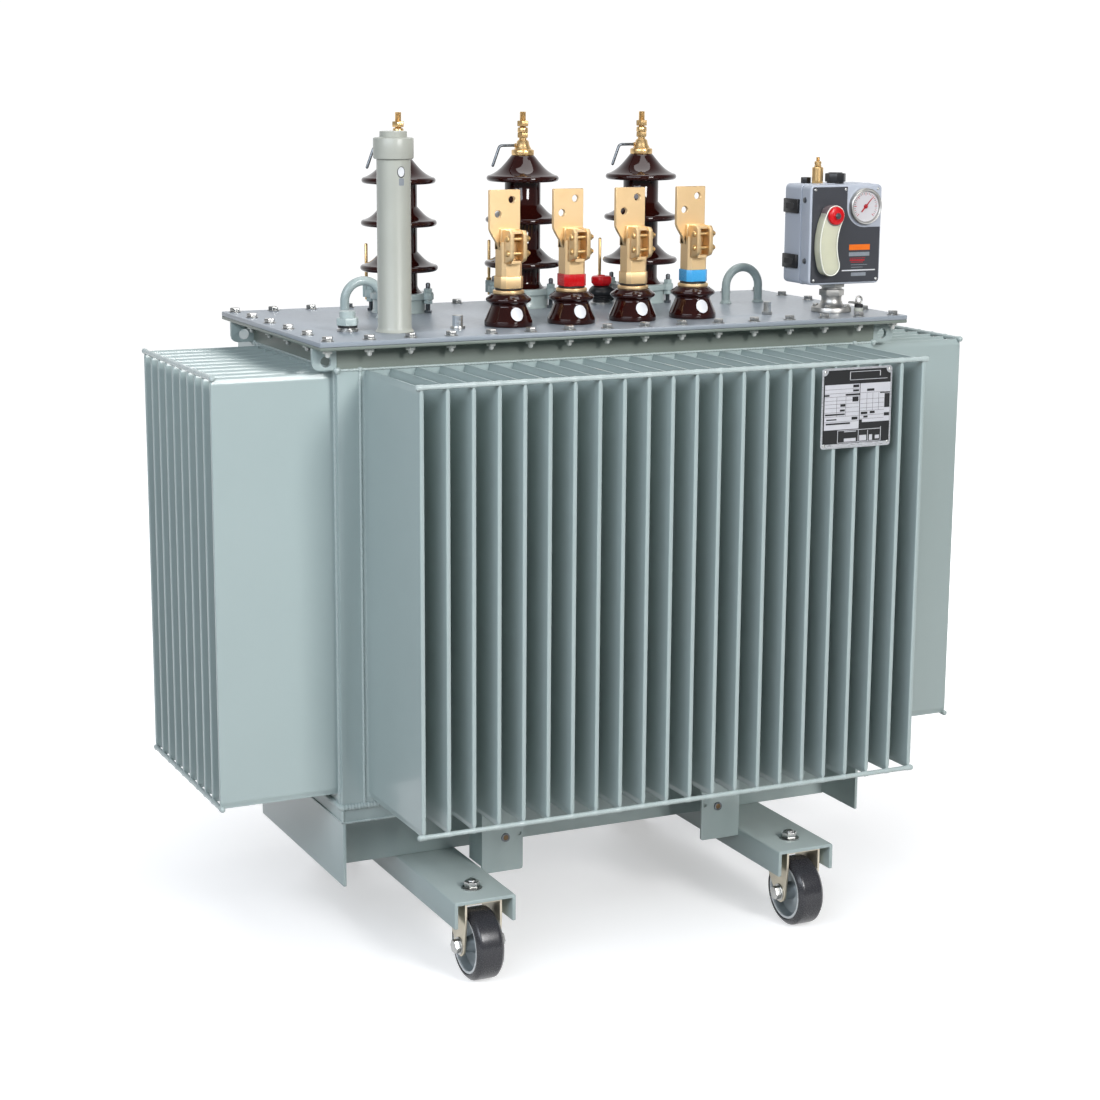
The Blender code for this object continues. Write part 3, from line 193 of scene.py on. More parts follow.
def swept(path: np.ndarray, radius: float, normal: Point,
          segments: int = 16, round_ends: bool = True) -> Form:
    """Round rod along a path that lies in a plane: path + r (cos a side + sin a normal).

    The side is the normal crossed with the path's direction. Round ends add rings whose radius
    falls as the cosine while they run on along the path by the sine.

    Args:
        path: Points of the centre line.
        radius: Radius of the rod.
        normal: Normal of the plane that holds the path.
        segments: Steps round the rod.
        round_ends: Whether the ends are domes instead of flat.

    Returns:
        The rod.
    """
    line = np.asarray(path, float)
    along = np.gradient(line, axis=0)
    along /= np.linalg.norm(along, axis=1, keepdims=True)
    radii = np.full(len(line), radius)
    turn = np.linspace(0, math.pi / 2, 5)[1:]
    reach = np.sin(turn)[:, None] * radius if round_ends else np.zeros((1, 1))
    fall = np.cos(turn) * radius if round_ends else np.zeros(1)
    line = np.vstack([line[:1] - along[:1] * reach[::-1], line, line[-1:] + along[-1:] * reach])
    radii = np.concatenate([fall[::-1], radii, fall])
    tangent = np.vstack([np.repeat(along[:1], len(reach), 0), along,
                         np.repeat(along[-1:], len(reach), 0)])
    up = np.array(normal, float) / np.linalg.norm(normal)
    side = np.cross(up, tangent)
    angle = np.linspace(0, 2 * math.pi, segments, endpoint=False)[None, :, None]
    spread = np.cos(angle) * side[:, None] + np.sin(angle) * up
    return grid(line[:, None] + spread * radii[:, None, None])


def inset(loop: np.ndarray, distance: float) -> np.ndarray:
    """Loop moved to its left by a distance: each corner goes along the sum of its edge normals.

    Args:
        loop: Closed loop of (x, y) points.
        distance: How far it moves.

    Returns:
        The moved loop.
    """
    edge = np.roll(loop, -1, axis=0) - loop
    edge /= np.maximum(np.linalg.norm(edge, axis=1, keepdims=True), 1e-12)
    left = np.stack([-edge[:, 1], edge[:, 0]], axis=1)
    before = np.roll(left, 1, axis=0)
    share = 1 + np.sum(left * before, axis=1, keepdims=True)
    return loop + distance * (left + before) / np.maximum(share, 0.3)


def wound(loop: np.ndarray, anticlockwise: bool) -> np.ndarray:
    """Loop whose points run the asked way round, by the sign of its area."""
    shape = np.asarray(loop, float)
    after = np.roll(shape, -1, axis=0)
    area = np.sum(shape[:, 0] * after[:, 1] - after[:, 0] * shape[:, 1])
    return shape if (area > 0) == anticlockwise else shape[::-1]


def plate(loops: list[np.ndarray], low: float, high: float, edge: float = 0.0,
          steps: int = 1) -> Form:
    """Plate between two heights, with its rims rounded by quarter circles of the edge radius.

    Each loop is carried up through insets of e (1 - sin t) at heights e (1 - cos t), and the
    two faces are filled between the outer loop and the holes.

    Args:
        loops: Outline first, then its holes, as (x, y) points.
        low: Height of the under face.
        high: Height of the upper face.
        edge: Radius of the rims.
        steps: Steps in each rim; one gives a chamfer.

    Returns:
        The plate.
    """
    turn = np.linspace(0, math.pi / 2, steps + 1) if edge else np.array([math.pi / 2])
    insets = edge * (1 - np.sin(turn))
    rises = edge * (1 - np.cos(turn))
    depths = np.concatenate([insets, insets[::-1]])
    heights = np.concatenate([low + rises, high - rises[::-1]])
    form = Form()
    bottoms, tops, outlines = [], [], []
    for number, loop in enumerate(loops):
        shape = wound(loop, number == 0)
        flat = np.stack([inset(shape, depth) for depth in depths])
        points = np.concatenate([flat, np.broadcast_to(heights[:, None, None],
                                                       (*flat.shape[:2], 1))], axis=-1)
        start = len(form.points)
        form.join(grid(points))
        bottoms.append(start + np.arange(len(shape)))
        tops.append(start + (len(heights) - 1) * len(shape) + np.arange(len(shape)))
        outlines.append([Vector((x, y, 0)) for x, y in flat[0]])
    triangles = np.array(tessellate_polygon(outlines))
    form.blocks.append(np.concatenate(bottoms)[triangles[:, ::-1]])
    form.blocks.append(np.concatenate(tops)[triangles])
    return form


def arc(centre: tuple[float, float], radius: float, start: float, end: float,
        steps: int) -> np.ndarray:
    """Points on an arc, c + r (cos a, sin a), with the angles in degrees."""
    angle = np.radians(np.linspace(start, end, steps + 1))
    return np.stack([centre[0] + radius * np.cos(angle), centre[1] + radius * np.sin(angle)], 1)


def ring(centre: tuple[float, float], radius: float, steps: int = 24) -> np.ndarray:
    """Closed round loop."""
    return arc(centre, radius, 0, 360, steps)[:-1]


def rounded(width: float, height: float, radius: float, centre: tuple[float, float] = (0, 0),
            steps: int = 4) -> np.ndarray:
    """Closed loop of a rectangle with round corners.

    Args:
        width: Size along X.
        height: Size along Y.
        radius: Radius of the corners.
        centre: Middle of the rectangle.
        steps: Steps in each corner; one gives cut corners.

    Returns:
        The loop.
    """
    x = width / 2 - radius
    y = height / 2 - radius
    corners = [arc((x, y), radius, 0, 90, steps), arc((-x, y), radius, 90, 180, steps),
               arc((-x, -y), radius, 180, 270, steps), arc((x, -y), radius, 270, 360, steps)]
    return np.vstack(corners) + np.array(centre)


def prism(radius: float, low: float, high: float, edge: float = 0.0, steps: int = 1,
          sides: int = 6) -> Form:
    """Upright bar with a regular outline, a hexagon if nothing else is asked."""
    return plate([ring((0, 0), radius, sides)], low, high, edge, steps)


def upright(path: np.ndarray) -> np.ndarray:
    """Path of (x, z) points set up in the plane y = 0."""
    return np.insert(np.asarray(path, float), 1, 0.0, axis=1)


def quarters(radius: float, height: float = 0.0) -> np.ndarray:
    """Four points on a circle, midway between the axes."""
    return np.array([(x * radius, y * radius, height) for x in (-SIN_45, SIN_45)
                     for y in (-SIN_45, SIN_45)])


def bolt(radius: float, height: float, washer: float, washer_height: float = 0.0016) -> Form:
    """Hexagon head on a round washer, with its foot at height 0.

    Args:
        radius: Radius at the corners of the head.
        height: Height of the head.
        washer: Radius of the washer.
        washer_height: Thickness of the washer.

    Returns:
        The bolt head.
    """
    flat = plate([ring((0, 0), washer, 24)], 0, washer_height, 0.0003)
    head = prism(radius, washer_height, washer_height + height, radius * 0.1, 2)
    return flat.join(head)


def domed_nut(radius: float, height: float) -> Form:
    """Cap nut: a washer, a hexagon, and a dome whose height is its radius times the sine.

    Args:
        radius: Radius at the corners of the hexagon.
        height: Height of the hexagon.

    Returns:
        The nut.
    """
    turn = np.linspace(math.pi / 2, 0, 9)
    dome = radius * 0.62
    profile = np.stack([dome * np.cos(turn), height + 0.0018 + dome * 0.62 * np.sin(turn)], 1)
    profile = np.vstack([profile, [(dome, height), (0, height)]])
    return bolt(radius, height, radius * 1.32, 0.0022).join(turned(profile, 32))


def screw(radius: float) -> Form:
    """Pan-head screw: a low dome over its seat with a slot across it.

    Args:
        radius: Radius of the head.

    Returns:
        The screw.
    """
    turn = np.linspace(math.pi / 2, 0, 6)
    profile = np.stack([radius * np.cos(turn), radius * 0.5 * np.sin(turn)], 1)
    return turned(np.vstack([profile, [(0, 0)]]), 20)


def threaded(radius: float, low: float, high: float, pitch: float, segments: int = 20) -> Form:
    """Threaded rod as close rings: the radius swings by a third of the pitch from ridge to root.

    Args:
        radius: Radius over the ridges.
        low: Height of the foot.
        high: Height of the top.
        pitch: Distance from ridge to ridge.
        segments: Steps round the rod.

    Returns:
        The rod.
    """
    count = max(int(round((high - low) / pitch)), 1) * 2
    height = np.linspace(high - pitch / 3, low, count + 1)
    radii = radius - (np.arange(count + 1) % 2) * pitch / 3
    profile = np.vstack([[(0, high), (radius - pitch / 2, high)], np.stack([radii, height], 1),
                         [(0, low)]])
    return turned(profile, segments)


def bead(start: Point, end: Point, radius: float, normal: Point, ripple: float = 0.006,
         swing: float = 0.12) -> Form:
    """Weld bead: a rod whose radius swells along it by a sine at each ripple.

    Args:
        start: First point of the seam.
        end: Last point of the seam.
        radius: Mean radius.
        normal: A direction across the seam.
        ripple: Length of one ripple.
        swing: Share by which the radius swells.

    Returns:
        The bead.
    """
    first, last = np.array(start, float), np.array(end, float)
    length = float(np.linalg.norm(last - first))
    share = np.linspace(0, 1, max(int(length / ripple * 4), 8))
    path = first + share[:, None] * (last - first)
    phase = share * length / ripple * 2 * math.pi
    radii = radius * (1 + swing * np.sin(phase) + 0.5 * swing * np.sin(phase * 0.37 + 1.0))
    radii[[0, -1]] = 0.0
    along = (last - first) / length
    side = np.cross(normal, along)
    angle = np.linspace(0, 2 * math.pi, 8, endpoint=False)[None, :, None]
    spread = np.cos(angle) * side + np.sin(angle) * np.array(normal, float)
    return grid(path[:, None] + spread * radii[:, None, None])


def srgb(colour: str) -> tuple[float, float, float, float]:
    """Linear colour of an sRGB hex value such as "#a0b0c0"."""
    parts = np.array([int(colour[i:i + 2], 16) for i in (1, 3, 5)]) / 255
    linear = np.where(parts <= 0.04045, parts / 12.92, ((parts + 0.055) / 1.055) ** 2.4)
    return (*(float(part) for part in linear), 1.0)


def add_node(tree: NodeTree, kind: str, links: dict | None = None, **settings: object) -> Node:
    """Add a node, set its options and fill its inputs.

    Args:
        tree: Node tree that gets the node.
        kind: Node type, without the prefix that all of them share.
        links: Value, output socket or node, which stands for its first output, for each input.
        settings: Options of the node.

    Returns:
        The node.
    """
    node = tree.nodes.new(f"ShaderNode{kind}")
    for option, value in settings.items():
        setattr(node, option, value)
    for name, value in (links or {}).items():
        if isinstance(value, (Node, NodeSocket)):
            source = value.outputs[0] if isinstance(value, Node) else value
            tree.links.new(source, node.inputs[name])
        else:
            node.inputs[name].default_value = value
    return node


@dataclass(frozen=True)
class Finish:
    """Finish of one real material: two tones in soft clouds, and a grain felt as a bump.

    Lengths are in millimetres. The stretch scales the grain along each axis, so that a brushed
    or turned surface has long marks.
    """

    name: str
    colour: str
    tone: str
    roughness: float
    metallic: float = 0.0
    cloud: float = 120.0
    grain: float = 2.0
    depth: float = 0.02
    uneven: float = 0.06
    stretch: Point = (1.0, 1.0, 1.0)
    coat: float = 0.0
    specular: float = 0.5
    transmission: float = 0.0
    dust: float = 0.0

    def material(self) -> Material:
        """Blender material of this finish, made once.

        Returns:
            The material.
        """
        found = bpy.data.materials.get(self.name)
        if found:
            return found
        made = bpy.data.materials.new(self.name)
        made.use_nodes = True
        tree = made.node_tree
        shader = tree.nodes["Principled BSDF"]
        place = add_node(tree, "TexCoord").outputs["Object"]
        self.paint_colour(tree, shader, place)
        self.paint_grain(tree, shader, place)
        shader.inputs["Metallic"].default_value = self.metallic
        shader.inputs["Coat Weight"].default_value = self.coat
        shader.inputs["Coat Roughness"].default_value = 0.05
        shader.inputs["Transmission Weight"].default_value = self.transmission
        if not self.metallic:
            shader.inputs["Specular IOR Level"].default_value = self.specular
        return made

    def paint_colour(self, tree: NodeTree, shader: Node, place: NodeSocket) -> None:
        """Mix the two tones by a soft cloud of the material's own size.

        Args:
            tree: Node tree of the material.
            shader: Its Principled node.
            place: Object coordinates.
        """
        cloud = add_node(tree, "TexNoise", {"Vector": place, "Scale": 1000 / self.cloud,
                                            "Detail": 4.0, "Roughness": 0.55})
        mix = add_node(tree, "Mix", {0: cloud.outputs["Fac"], 6: srgb(self.colour),
                                     7: srgb(self.tone)}, data_type="RGBA")
        result = mix.outputs[2]
        if self.dust:
            result = self.settle_dust(tree, cloud.outputs["Fac"], result)
        tree.links.new(result, shader.inputs["Base Color"])

    def settle_dust(self, tree: NodeTree, cloud: NodeSocket, under: NodeSocket) -> NodeSocket:
        """Lay pale dust on upward faces, thicker where the cloud is dense.

        Args:
            tree: Node tree of the material.
            cloud: Value of the cloud.
            under: Colour below the dust.

        Returns:
            The dusted colour.
        """
        normal = add_node(tree, "NewGeometry").outputs["Normal"]
        rise = add_node(tree, "SeparateXYZ", {0: normal}).outputs["Z"]
        facing = add_node(tree, "MapRange", {"Value": rise, "From Min": 0.4, "From Max": 1.0,
                                             "To Max": self.dust})
        share = add_node(tree, "Math", {0: facing, 1: cloud}, operation="MULTIPLY")
        dusted = add_node(tree, "Mix", {0: share, 6: under, 7: srgb("#d6d4cc")}, data_type="RGBA")
        return dusted.outputs[2]

    def paint_grain(self, tree: NodeTree, shader: Node, place: NodeSocket) -> None:
        """Let a fine grain swing the roughness and raise a bump.

        Args:
            tree: Node tree of the material.
            shader: Its Principled node.
            place: Object coordinates.
        """
        turned_place = add_node(tree, "Mapping", {"Vector": place, "Scale": self.stretch})
        grain = add_node(tree, "TexNoise", {"Vector": turned_place, "Scale": 1000 / self.grain,
                                            "Detail": 3.0})
        rough = add_node(tree, "MapRange", {"Value": grain.outputs["Fac"], "From Min": 0.3,
                                            "From Max": 0.7,
                                            "To Min": max(self.roughness - self.uneven, 0.02),
                                            "To Max": min(self.roughness + self.uneven, 1.0)})
        tree.links.new(rough.outputs[0], shader.inputs["Roughness"])
        bump = add_node(tree, "Bump", {"Height": grain.outputs["Fac"], "Strength": self.depth,
                                       "Distance": self.grain / 1000})
        tree.links.new(bump.outputs[0], shader.inputs["Normal"])


# Two-pack spray paint on steel sheet: satin, with a faint orange peel about 3 mm across.
TANK_PAINT = Finish("sprayed_polyurethane_paint", "#a1afad", "#a7b5b3", 0.3, cloud=260, grain=4.0,
                    depth=0.006, uneven=0.02, coat=0.15, specular=0.36, dust=0.2)
# The same paint, paler and a little glossier, on weld beads, tie bars and the pocket cap; on the
# round beads and bars the paler tone is a painted highlight.
PALE_PAINT_AND_PAINTED_HIGHLIGHT = Finish("pale_paint_and_painted_highlight", "#aab7b5", "#b3bfbc", 0.28, cloud=40, grain=2.0,
                    depth=0.08)
# Greener batch of the paint on the filler pipe, its cap and the valve base, brushed by hand.
BRUSHED_PAINT = Finish("brushed_enamel_paint", "#a9aba1", "#b1b3a9", 0.34, cloud=50, grain=2.4,
                       depth=0.03, stretch=(1.0, 1.0, 0.15))
# Paint on the lid, rolled flat, which mirrors the bright room at low angles; its tone, bluer than
# the tank's, is a painted reflection.
LID_PAINT_WITH_PAINTED_REFLECTION = Finish("rolled_lid_paint_with_painted_reflection", "#8f979f", "#979fa6", 0.33, cloud=300, grain=9.0,
                   depth=0.006, uneven=0.03)
# Flat, greener paint on the flange and the rim under the lid, darkened as painted shade under the
# lid.
CURB_PAINT_WITH_PAINTED_SHADE = Finish("curb_paint_darkened_as_painted_shade", "#747d75", "#7b847c", 0.42, cloud=180, grain=3.0,
                    depth=0.04)
# Rubber-bonded cork gasket: dark, dull and crumbly at its edge.
GASKET = Finish("cork_rubber_gasket", "#3a403e", "#4a504d", 0.85, cloud=20, grain=1.5, depth=0.3)
# Brown feldspar glaze fired on porcelain: nearly black brown under a wet gloss.
PORCELAIN = Finish("brown_glazed_porcelain", "#220705", "#2e0e0a", 0.05, cloud=45, grain=14.0,
                   depth=0.01, uneven=0.02, specular=0.42)
# Sand-cast brass, shot-blasted: warm, pale and satin, with a grain near 0.8 mm.
CAST_BRASS = Finish("blasted_cast_brass", "#eccfa2", "#dfbd8b", 0.44, 0.9, cloud=70, grain=0.8,
                    depth=0.08)
# Brass turned on a lathe: brighter, with marks that run round the axis.
TURNED_BRASS = Finish("turned_brass", "#dfc08c", "#d2ad76", 0.34, 0.92, cloud=60, grain=1.2,
                      depth=0.06, stretch=(0.3, 0.3, 2.5))
# Brass screws in the earthing bosses: tarnished brown.
AGED_BRASS = Finish("tarnished_brass", "#7d6648", "#5f4d38", 0.5, 0.6, cloud=6, grain=0.8,
                    depth=0.05)
# Zinc-plated steel with a pale yellow passivation, as on forks.
ZINC = Finish("passivated_zinc_steel", "#d0c8b6", "#bdb5a2", 0.36, 0.85, cloud=30, grain=1.5,
              depth=0.06)
# Bright zinc on nuts, bolts and studs.
BRIGHT_ZINC = Finish("bright_zinc_steel", "#c9c9c6", "#a3a4a3", 0.3, 1.0, cloud=14, grain=1.0,
                     depth=0.05)
# Zinc flake dipped on small nuts: pale and slightly chalky, made whiter still as painted light that
# keeps the nuts bright in the flange's shade.
NUT_COAT_WITH_PAINTED_LIGHT = Finish("zinc_flake_coat_whitened_as_painted_light", "#dcddd9", "#cccdc9", 0.33, 0.25, cloud=16, grain=1.0,
                  depth=0.04)
# Mild-steel rod, bare and slightly dulled, for the upper horns and dark stud ends.
DARK_STEEL = Finish("bare_steel_rod", "#777b7f", "#6a6e72", 0.34, 1.0, cloud=60, grain=4.0,
                    depth=0.02)
# Stainless steel turned and brushed round its axis.
STAINLESS = Finish("brushed_stainless", "#c4c3bf", "#a6a5a1", 0.42, 1.0, cloud=22, grain=1.0,
                   depth=0.06, stretch=(0.25, 0.25, 3.0))
# Polyurethane tread moulded on the wheel: dark grey, smooth, a little dusty.
TREAD = Finish("moulded_polyurethane_tread", "#2e2e31", "#38383c", 0.26, cloud=60, grain=1.6,
               depth=0.02, uneven=0.05)
# Die-cast rim with a clear coat over bare metal, and its machined lip.
RIM = Finish("die_cast_rim", "#a9b1b4", "#8d9599", 0.4, 0.6, cloud=25, grain=1.4, depth=0.08)
RIM_LIP = Finish("machined_rim_lip", "#dfe2e3", "#cdd1d2", 0.3, 0.3, cloud=20, grain=1.0,
                 depth=0.04)
# Injection-moulded plastics, faintly rippled where the melt met.
BLACK_PLASTIC = Finish("moulded_black_nylon", "#141517", "#1e1f22", 0.38, cloud=25, grain=1.0,
                       depth=0.06)
RED_PLASTIC = Finish("moulded_red_nylon", "#c40812", "#d0121d", 0.32, cloud=25, grain=1.2,
                     depth=0.04, specular=0.35)
RED_ENAMEL = Finish("red_enamel_on_brass", "#c80a12", "#b6070e", 0.26, cloud=20, grain=1.5,
                    depth=0.03, specular=0.35)
BLUE_ENAMEL = Finish("light_blue_enamel_on_brass", "#3d9fda", "#4fabe2", 0.28, cloud=20, grain=1.5,
                     depth=0.03, specular=0.4)
# Nitrile rubber of seals and O-rings.
O_RING = Finish("nitrile_rubber_seal", "#121213", "#1b1b1d", 0.5, cloud=15, grain=1.0, depth=0.05)
# Aluminium casting under grey powder coat, with a fine leather-like texture.
RELAY_COAT = Finish("textured_powder_coat", "#aeb4be", "#b8bec8", 0.4, cloud=60, grain=1.1,
                    depth=0.1)
# Dark foil printed in one piece for the relay's front.
PANEL = Finish("dark_printed_panel", "#33353a", "#3a3c42", 0.44, cloud=60, grain=0.9, depth=0.04)
# Cream liner of the float chamber and the clear and smoked mouldings over it.
CREAM = Finish("float_chamber_liner", "#f0efdc", "#e4e4c9", 0.42, cloud=16, grain=1.2, depth=0.04)
CLEAR = Finish("clear_polycarbonate", "#f1f1df", "#e8e8d2", 0.06, cloud=30, grain=4.0, depth=0.01,
               uneven=0.03, transmission=0.5)
FROSTED = Finish("frosted_window_rim", "#f4f4ea", "#eaebdd", 0.22, cloud=12, grain=1.0, depth=0.03)
SMOKED = Finish("smoked_polycarbonate", "#6b5a5c", "#7b6c6d", 0.14, cloud=14, grain=2.0, depth=0.02,
                coat=0.4)
# Printed dial card, its inks and the label foils.
DIAL = Finish("printed_dial_card", "#c6c4c6", "#cdcbcd", 0.45, cloud=30, grain=0.8, depth=0.02)
INK_RED = Finish("red_dial_ink", "#b31a26", "#a3131d", 0.45, cloud=8, grain=0.8, depth=0.02)
INK_DARK = Finish("dark_dial_ink", "#2e3034", "#3a3c40", 0.5, cloud=8, grain=0.8, depth=0.02)
ORANGE_FOIL = Finish("orange_label_foil", "#ee7415", "#e3690c", 0.42, cloud=12, grain=0.9,
                     depth=0.02)
GREY_FOIL = Finish("grey_label_foil", "#8f959b", "#7d8389", 0.42, cloud=6, grain=0.9, depth=0.02)
WHITE_FOIL = Finish("white_label_foil", "#e2e3e4", "#d6d8da", 0.38, cloud=14, grain=0.9,
                    depth=0.02)
# Rolled aluminium of the rating plate, brushed along its length, with its lacquer and fields.
PLATE_METAL = Finish("brushed_aluminium_plate", "#d4d6d8", "#c3c6c9", 0.3, 0.7, cloud=30,
                     grain=1.0, depth=0.05, stretch=(0.1, 1.0, 2.0))
PLATE_INK = Finish("black_plate_lacquer", "#101112", "#17181a", 0.4, cloud=20, grain=0.9,
                   depth=0.03)
PLATE_FIELD = Finish("etched_plate_field", "#c9c9cd", "#bcbdc1", 0.38, cloud=14, grain=0.9,
                     depth=0.03)


@dataclass
class Piece:
    """One piece of a sub-assembly. Its shape is a form, or the name of a CAD node to copy."""

    name: str
    shape: Form | str
    finish: Finish
    slot: Slot
    body: str = BODY
    stands_for: tuple[str, ...] = ()
    sharp: float = 38.0
    edge: float = 0.001

    def formed(self) -> Mesh:
        """Mesh of the form: doubles merged, faces outward, smooth between sharp creases."""
        mesh = bpy.data.meshes.new(self.name)
        faces = [face for block in self.shape.blocks for face in block.tolist()]
        mesh.from_pydata(self.shape.points.tolist(), [], faces)
        bm = bmesh.new()
        bm.from_mesh(mesh)
        bmesh.ops.remove_doubles(bm, verts=bm.verts, dist=0.000002)
        bmesh.ops.dissolve_degenerate(bm, edges=bm.edges, dist=0.000001)
        bmesh.ops.recalc_face_normals(bm, faces=bm.faces)
        bm.to_mesh(mesh)
        bm.free()
        mesh.shade_smooth()
        mesh.set_sharp_from_angle(angle=math.radians(self.sharp))
        return mesh

    def copied(self) -> Mesh:
        """Mesh of the CAD node, with its flat faces joined, for a live bevel."""
        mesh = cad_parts[self.shape].data.copy()
        mesh.name = self.name
        mesh.materials.clear()
        bm = bmesh.new()
        bm.from_mesh(mesh)
        bmesh.ops.remove_doubles(bm, verts=bm.verts, dist=0.000005)
        bmesh.ops.dissolve_limit(bm, angle_limit=math.radians(0.5), verts=bm.verts, edges=bm.edges)
        bm.to_mesh(mesh)
        bm.free()
        mesh.shade_smooth()
        return mesh

    def round_edges(self, piece: Object) -> None:
        """Give the object a bevel on its edges.

        Args:
            piece: Object that gets the bevel.
        """
        rounding = piece.modifiers.new("edge", "BEVEL")
        rounding.width = self.edge
        rounding.segments = 2
        rounding.limit_method = "ANGLE"
        rounding.angle_limit = math.radians(30)
        rounding.harden_normals = True

    def dress(self) -> None:
        """Make the object, give it its finish and slot, and let it ride on its body."""
        copy = isinstance(self.shape, str)
        mesh = self.copied() if copy else self.formed()
        piece = bpy.data.objects.new(self.name, mesh)
        bpy.context.scene.collection.objects.link(piece)
        mesh.materials.append(self.finish.material())
        if copy:
            self.round_edges(piece)
        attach(piece, self.body)
        if self.stands_for:
            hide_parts(*self.stands_for)
        LOG.info("%s: %d faces in %s", self.name, len(mesh.polygons), self.finish.name)


@dataclass
class SubAssembly:
    """Named group of pieces: build collects their shapes, and dress makes and finishes them."""

    pieces: list[Piece] = field(default_factory=list, init=False, repr=False)

    def add(self, name: str, form: Form, finish: Finish, slot: Slot, body: str = BODY,
            stands_for: tuple[str, ...] = (), sharp: float = 38.0) -> None:
        """Collect a piece that has its own form; the angle of its creases is in degrees."""
        self.pieces.append(Piece(name, form, finish, slot, body, stands_for, sharp))

    def soft(self, name: str, node: str, finish: Finish, slot: Slot, edge: float = 0.001,
             body: str = BODY) -> None:
        """Collect a copy of a CAD node with rounded edges, which stands for that node."""
        self.pieces.append(Piece(name, node, finish, slot, body, (node,), edge=edge))

    def build(self) -> None:
        """Collect the pieces; each sub-assembly has its own."""
        raise NotImplementedError

    def dress(self) -> None:
        """Make, finish and log every piece that build collected."""
        for piece in self.pieces:
            piece.dress()


def middle(node: str) -> Point:
    """Middle of a CAD node's box."""
    low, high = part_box(node)
    return tuple((low + high) / 2)


def foot(node: str) -> Point:
    """Point under the middle of a CAD node's box, at its lowest height."""
    low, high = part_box(node)
    return ((low.x + high.x) / 2, (low.y + high.y) / 2, low.z)


